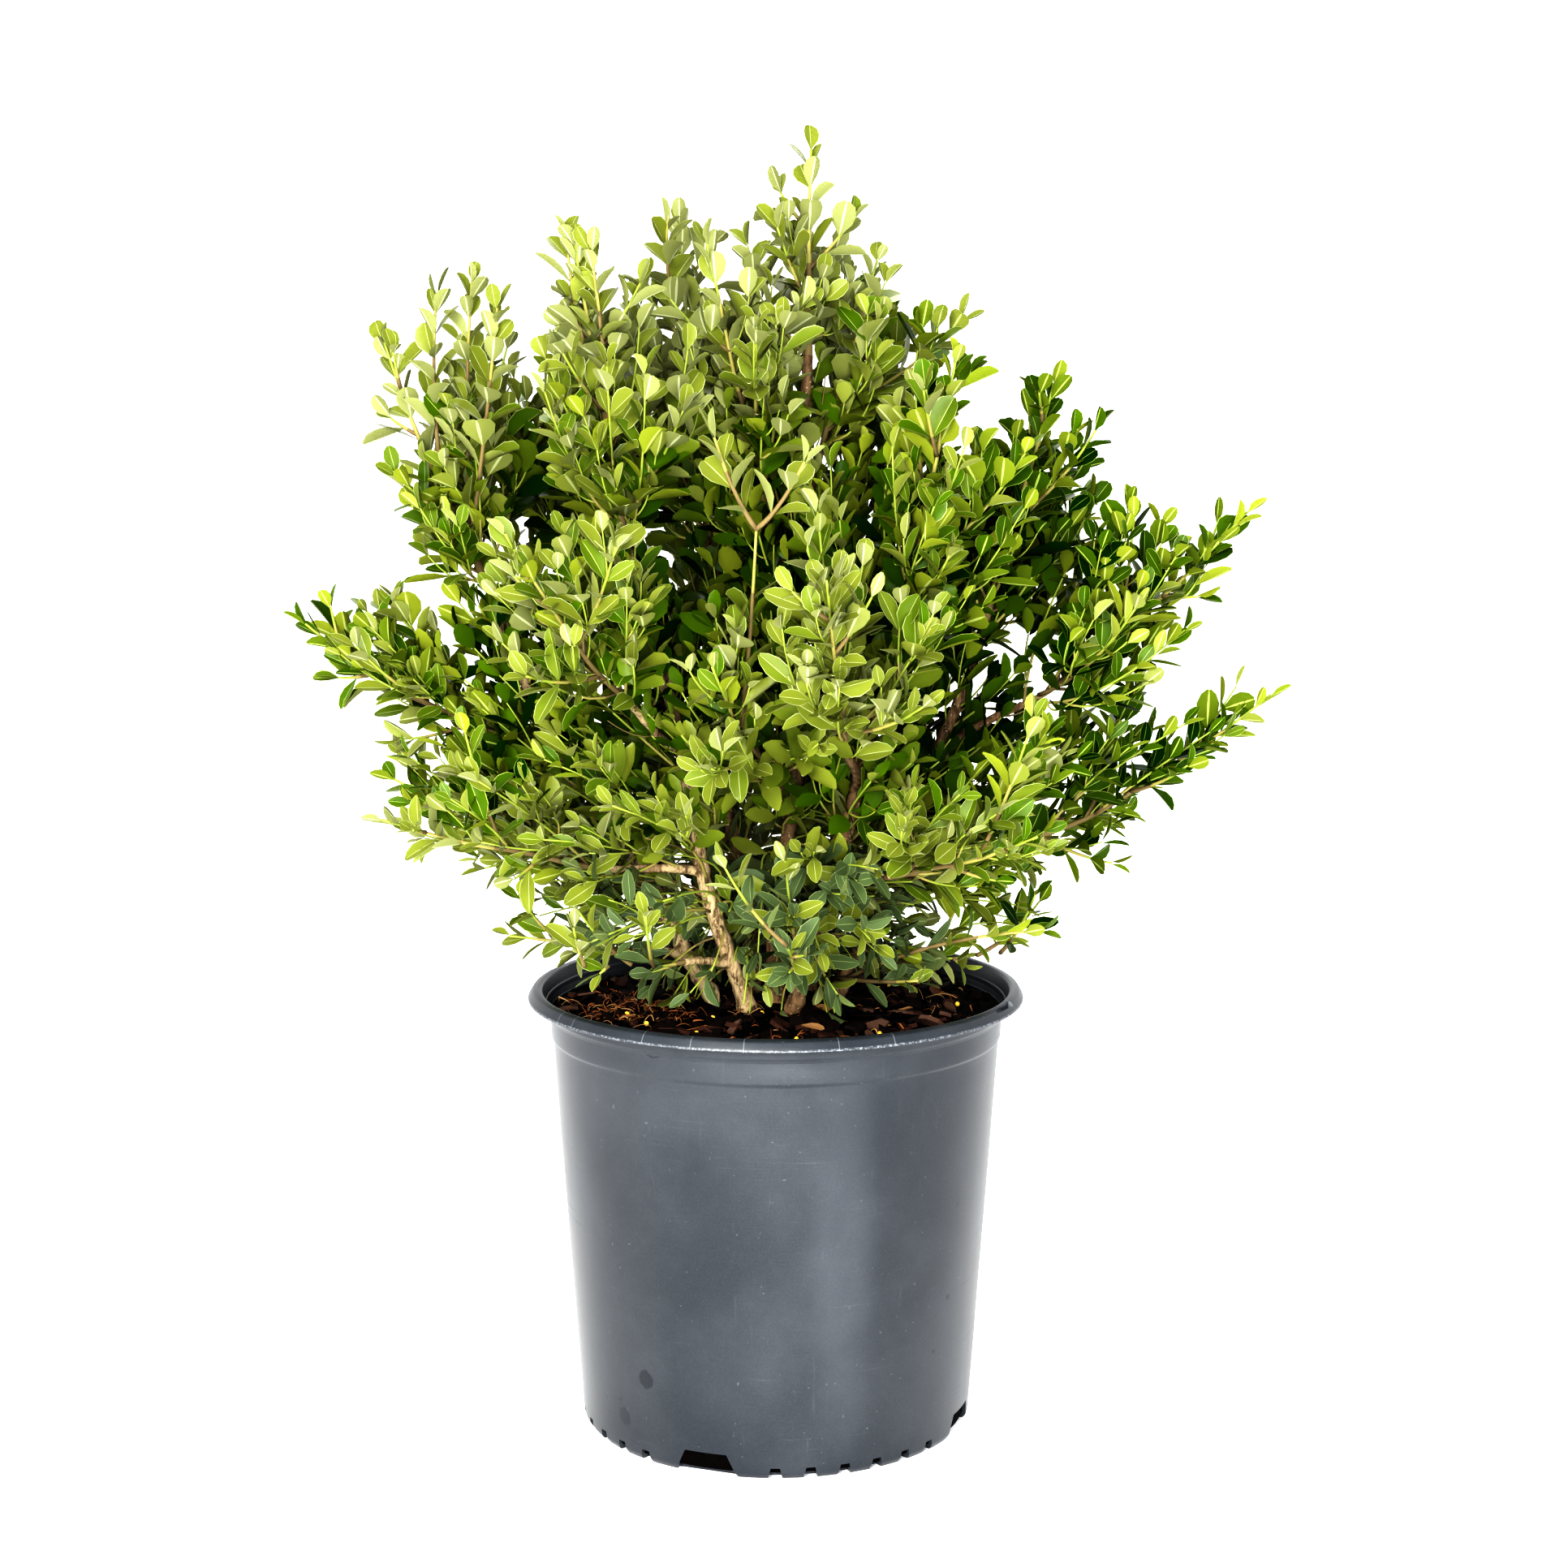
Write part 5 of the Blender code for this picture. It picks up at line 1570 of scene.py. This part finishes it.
def bark_radii(path, radii, sides, look, seed):
    """Radii of a limb at each row and turn: its taper, plus ridges that are sines of five and
    nine times the turn and wind a little along the run, lumps, and a swelling at each old leaf
    joint that falls off as a bell to both sides."""
    run = np.concatenate(((0.0,), np.cumsum(np.linalg.norm(np.diff(path, axis=0), axis=1))))[:, None]
    turns = 2 * np.pi * np.arange(sides) / sides
    phase = np.random.default_rng(seed).uniform(0.0, 2 * np.pi, 3)
    ridges = np.sin(5 * turns + phase[0] + 60 * run) + 0.6 * np.sin(9 * turns + phase[1] - 90 * run)
    cells = np.stack(np.broadcast_arrays(np.cos(turns), np.sin(turns), 260 * run), -1)
    lumps = ripples(cells, 2.2, seed + 1)
    joints = np.exp(-(((run + phase[2] / 700) % 0.0105 - 0.005) / 0.0011) ** 2)
    radii = radii[:, None]
    return radii + look.relief * (0.45 * ridges + 0.9 * lumps) * (radii / 0.004) + 0.0004 * joints


def make_bark(name, limbs, sides, step, swelling, reach, look, material):
    """Some limbs with bark relief as one piece, each from inside its parent to its mass, and
    wider at its foot by the swelling, which fades over the reach."""
    points, walls, ends, total = [], [], [], 0
    for number, limb in enumerate(limbs):
        length = np.linalg.norm(limb["curve"][2] - limb["curve"][0]) * limb["end"]
        shares = np.linspace(0.0, limb["end"], max(12, int(length / step)))
        path = along_limb(limb, shares)
        run = shares / limb["end"] * length
        radii = np.linspace(*limb["radii"], len(shares)) * (1 + swelling * np.exp(-run / reach))
        bark = bark_radii(path, radii, sides, look, LIMB_SEED + number * 7 + len(limb["mass"]))
        made, sheath, tips = tubes(path[None], bark[None], sides)
        if limb["is_stem"]:
            made[:sides, 2] = SOIL_TOP - STEM_SUNK
        points.append(made)
        walls.append(sheath + total)
        ends.append(tips + total)
        total += len(made)
    faces = [np.concatenate(walls), np.concatenate(ends)]
    piece = add_piece(name, np.concatenate(points), faces, [material])
    dress(piece, [limb["name"] for limb in limbs])


def make_stem(stem, limbs, look, material):
    """One stem and its boughs, with bark relief."""
    make_bark(f"{stem}_stem_bark", limbs[:1], 18, 0.0014, (FLARE - 1) * 0.5, 0.006, look, material)
    make_bark(f"{stem}_bough_bark", limbs[1:], 12, 0.0016, 0.7, 0.004, look, material)


def foliage_nodes(grown):
    """The frame's nodes of one stem's masses."""
    return [f"foliage_{row['limb']['mass']}" for row in grown]


def make_twigs(stem, grown, materials):
    """The leafy stems, twigs and shoots of one stem as one joined piece, in three ages of bark."""
    points, walls, ends, looks, end_looks, total = [], [], [], [], [], 0
    for kind, (sides, width, tones, *_) in WOOD.items():
        paths = np.array([path for row in grown for path in row[kind]])
        if not len(paths):
            continue
        count, rows = paths.shape[:2]
        if width:
            radii = np.broadcast_to(np.linspace(*width, rows), (count, rows))
        else:
            foot = np.array([row["limb"]["radii"][1] for row in grown])[:, None] - SPRAY_END_RADIUS
            radii = SPRAY_END_RADIUS + foot * (1 - np.linspace(0.0, 1.0, rows)) ** 1.25
        made, sheath, tips = tubes(paths, radii, sides)
        along = (np.arange(rows - 1) + 0.5) / (rows - 1)
        tone = np.array(tones)[(along * len(tones)).astype(int)]
        points.append(made)
        walls.append(sheath + total)
        ends.append(tips + total)
        looks.append(np.tile(np.repeat(tone, sides), count))
        end_looks.append(np.tile((tones[0], tones[-1]), count))
        total += len(made)
    faces, looks = [np.concatenate(walls), *ends], np.concatenate((*looks, *end_looks))
    piece = add_piece(f"{stem}_twigs", np.concatenate(points), faces, materials, looks)
    dress(piece, foliage_nodes(grown))


def make_leaves(stem, grown, look, materials, number):
    """All leaves of one stem as two joined pieces, outer and inner, in the colours of their tones."""
    rows = [np.concatenate(row) for row in zip(*(mass["leaves"] for mass in grown))]
    outer = rows[-1] < OUTER_DEPTH
    for kind, shape, chosen in (("leaves", FULL_LEAF, outer), ("inner_leaves", PLAIN_LEAF, ~outer)):
        root, way, face, length, size, tone, _ = (row[chosen] for row in rows)
        draw = np.random.default_rng(LEAF_SEED + number + len(shape["u"]))
        count = len(root)
        roundness = np.clip((root[:, 2] - 0.36) / 0.20 + draw.normal(0.0, 0.25, count), 0.0, 1.0)
        spreads = np.clip(draw.normal(1.0, 0.09, count), 0.75, 1.25)
        width = look.width * size * (0.86 + 0.34 * roundness) * spreads
        fold = np.clip(draw.normal(0.34, 0.16, count), 0.02, 0.9)
        droop = np.clip(draw.normal(0.06, 0.07, count), -0.10, 0.28)
        points = leaf_points(shape, root, way, face, length, width, roundness, fold, droop, look.thickness)
        faces, parts = leaf_faces(shape, count)
        blades = (parts[None] * (TONES + 1) + tone[:, None]).ravel()
        looks = np.concatenate((blades, np.repeat(TONES + 1 + tone, 2)))
        piece = add_piece(f"{stem}_{kind}", points, faces, materials, looks, sharp=math.radians(70.0))
        dress(piece, foliage_nodes(grown))


# The stage


def area_light(scene, name, place, height, size, power, colour):
    """A square soft light at a place, facing the plant at a height."""
    light = bpy.data.objects.new(name, bpy.data.lights.new(name, "AREA"))
    light.data.size = size
    light.data.energy = power
    light.data.color = colour
    way = unit(np.array(place) - upright(height))
    side = unit(np.cross((0.0, 0.0, 1.0), way))
    turn = Matrix((side, np.cross(way, side), way)).transposed()
    light.matrix_world = Matrix.Translation(place) @ turn.to_4x4()
    scene.collection.objects.link(light)


def make_stage(scene, look):
    """A plain pale floor, soft studio light, and the camera at the photo's angle."""
    corners = FLOOR_REACH * np.array(((-1, -1, 0), (1, -1, 0), (1, 1, 0), (-1, 1, 0)))
    paper = Paint("floor_paper", look.floor, 0.9).made
    add_piece("floor", corners, [np.array(((0, 1, 2, 3),))], [paper])
    scene.world = bpy.data.worlds.new("studio")
    scene.world.use_nodes = True
    sky = scene.world.node_tree.nodes["Background"]
    sky.inputs["Color"].default_value = (1.0, 1.0, 1.0, 1.0)
    sky.inputs["Strength"].default_value = look.sky
    for name, (place, height, size, colour) in LIGHTS.items():
        area_light(scene, f"{name}_light", place, height, size, getattr(look, name), colour)
    scene.view_settings.view_transform = "Standard"
    scene.view_settings.look = "Very High Contrast"
    lens = bpy.data.cameras.new("camera")
    lens.sensor_width = CAMERA_SENSOR
    lens.lens = look.lens
    scene.camera = bpy.data.objects.new("camera", lens)
    turn = Matrix.Rotation(math.pi / 2 - CAMERA_PITCH, 4, "X")
    scene.camera.matrix_world = Matrix.Translation(CAMERA_PLACE) @ turn
    scene.collection.objects.link(scene.camera)


# The add-on

GROWN = {}


def plant(scene):
    """The grown plant by stem, grown again only if the leaves' size or spacing has changed."""
    look = scene.boxwood_leaf
    sizes = (look.length, look.spacing)
    if sizes not in GROWN:
        GROWN.clear()
        GROWN[sizes] = grow(look)
    return GROWN[sizes]


class BOXWOOD_OT_pot(bpy.types.Operator):
    """Make the pot with its drains, notches and rim slots"""

    bl_idname = "boxwood.pot"
    bl_label = "Pot"

    def execute(self, context):
        make_pot(context.scene.boxwood_pot)
        return {"FINISHED"}


class BOXWOOD_OT_soil(bpy.types.Operator):
    """Make the soil and the chips, crumbs, shreds, beads and fallen leaves on it"""

    bl_idname = "boxwood.soil"
    bl_label = "Soil"

    def execute(self, context):
        look = context.scene.boxwood_soil
        soil = soil_material(look)
        dark, red, grey, fibre, straw, dry, rusty = (
            plain(name, getattr(look, setting), 0.82, 0.10, CHIP_RELIEF)
            for name, setting in (
                ("bark_chip_dark", "bark_dark"),
                ("bark_chip_red", "bark_red"),
                ("bark_chip_grey", "bark_grey"),
                ("shred_fibre", "fibre"),
                ("shred_straw", "straw"),
                ("leaf_dry", "dry"),
                ("leaf_rusty", "rusty"),
            )
        )
        make_soil(soil)
        make_chips(look, [dark, red, grey])
        make_crumbs(look, [soil, dark, red])
        make_shreds(look, [fibre, straw, red])
        make_beads(look, plain("feed_bead", look.feed, 0.4, 0.10, CHIP_RELIEF))
        make_fallen(look, context.scene.boxwood_leaf, [dry, rusty])
        return {"FINISHED"}


class BOXWOOD_OT_stems(bpy.types.Operator):
    """Make the stems and boughs with their bark"""

    bl_idname = "boxwood.stems"
    bl_label = "Stems and boughs"

    def execute(self, context):
        look = context.scene.boxwood_wood
        tan = bark_material("tan_bark", look, look.bark, look.furrow)
        # The stems behind get the darker bark, a painted shade
        shaded = bark_material("brown_bark", look, look.brown_bark, look.shaded_furrow)
        for stem, grown in plant(context.scene).items():
            make_stem(stem, [row["limb"] for row in grown], look, tan if stem in TAN_STEMS else shaded)
        return {"FINISHED"}


class BOXWOOD_OT_twigs(bpy.types.Operator):
    """Make the leafy stems, twigs and shoots"""

    bl_idname = "boxwood.twigs"
    bl_label = "Twigs and shoots"

    def execute(self, context):
        look = context.scene.boxwood_wood
        ages = (("twig_old", 0.8), ("twig_mid", 0.65), ("twig_new", 0.5))
        materials = [plain(age, getattr(look, age), rough, 0.20, TWIG_RELIEF) for age, rough in ages]
        for stem, grown in plant(context.scene).items():
            make_twigs(stem, grown, materials)
        return {"FINISHED"}


class BOXWOOD_OT_leaves(bpy.types.Operator):
    """Make the leaves of every stem"""

    bl_idname = "boxwood.leaves"
    bl_label = "Leaves"

    def execute(self, context):
        look = context.scene.boxwood_leaf
        materials = leaf_materials(look)
        for index, (stem, grown) in enumerate(plant(context.scene).items()):
            make_leaves(stem, grown, look, materials, index)
        return {"FINISHED"}


class BOXWOOD_OT_stage(bpy.types.Operator):
    """Make the floor, the light and the camera"""

    bl_idname = "boxwood.stage"
    bl_label = "Stage"

    def execute(self, context):
        make_stage(context.scene, context.scene.boxwood_stage)
        return {"FINISHED"}


class BOXWOOD_PT_panel(bpy.types.Panel):
    """The panel that lists the plant's pieces"""

    bl_idname = "BOXWOOD_PT_panel"
    bl_label = "Potted Boxwood"
    bl_space_type = "VIEW_3D"
    bl_region_type = "UI"
    bl_category = "Boxwood"

    def draw(self, context):
        for name, (_, title, operators) in LOOKS.items():
            box = self.layout.box()
            box.label(text=title)
            look = getattr(context.scene, name)
            for key in look.__annotations__:
                box.prop(look, key)
            for operator in operators:
                box.operator(operator.bl_idname)


# The settings on the scene: their group, title and operators
LOOKS = {
    "boxwood_pot": (PotLook, "Pot", (BOXWOOD_OT_pot,)),
    "boxwood_soil": (SoilLook, "Soil", (BOXWOOD_OT_soil,)),
    "boxwood_wood": (WoodLook, "Wood", (BOXWOOD_OT_stems, BOXWOOD_OT_twigs)),
    "boxwood_leaf": (LeafLook, "Leaves", (BOXWOOD_OT_leaves,)),
    "boxwood_stage": (StageLook, "Stage", (BOXWOOD_OT_stage,)),
}


def register():
    """Register the settings, the operators and the panel."""
    for name, (look, _, operators) in LOOKS.items():
        for kind in (look, *operators):
            bpy.utils.register_class(kind)
        setattr(bpy.types.Scene, name, bpy.props.PointerProperty(type=look))
    bpy.utils.register_class(BOXWOOD_PT_panel)


def unregister():
    """Take them back, last first."""
    bpy.utils.unregister_class(BOXWOOD_PT_panel)
    for name, (look, _, operators) in reversed(LOOKS.items()):
        delattr(bpy.types.Scene, name)
        for kind in (*operators, look):
            bpy.utils.unregister_class(kind)


def main():
    """Make every piece in order."""
    register()
    bpy.ops.boxwood.pot()
    bpy.ops.boxwood.soil()
    bpy.ops.boxwood.stems()
    bpy.ops.boxwood.twigs()
    bpy.ops.boxwood.leaves()
    bpy.ops.boxwood.stage()


if __name__ == "__main__":
    main()
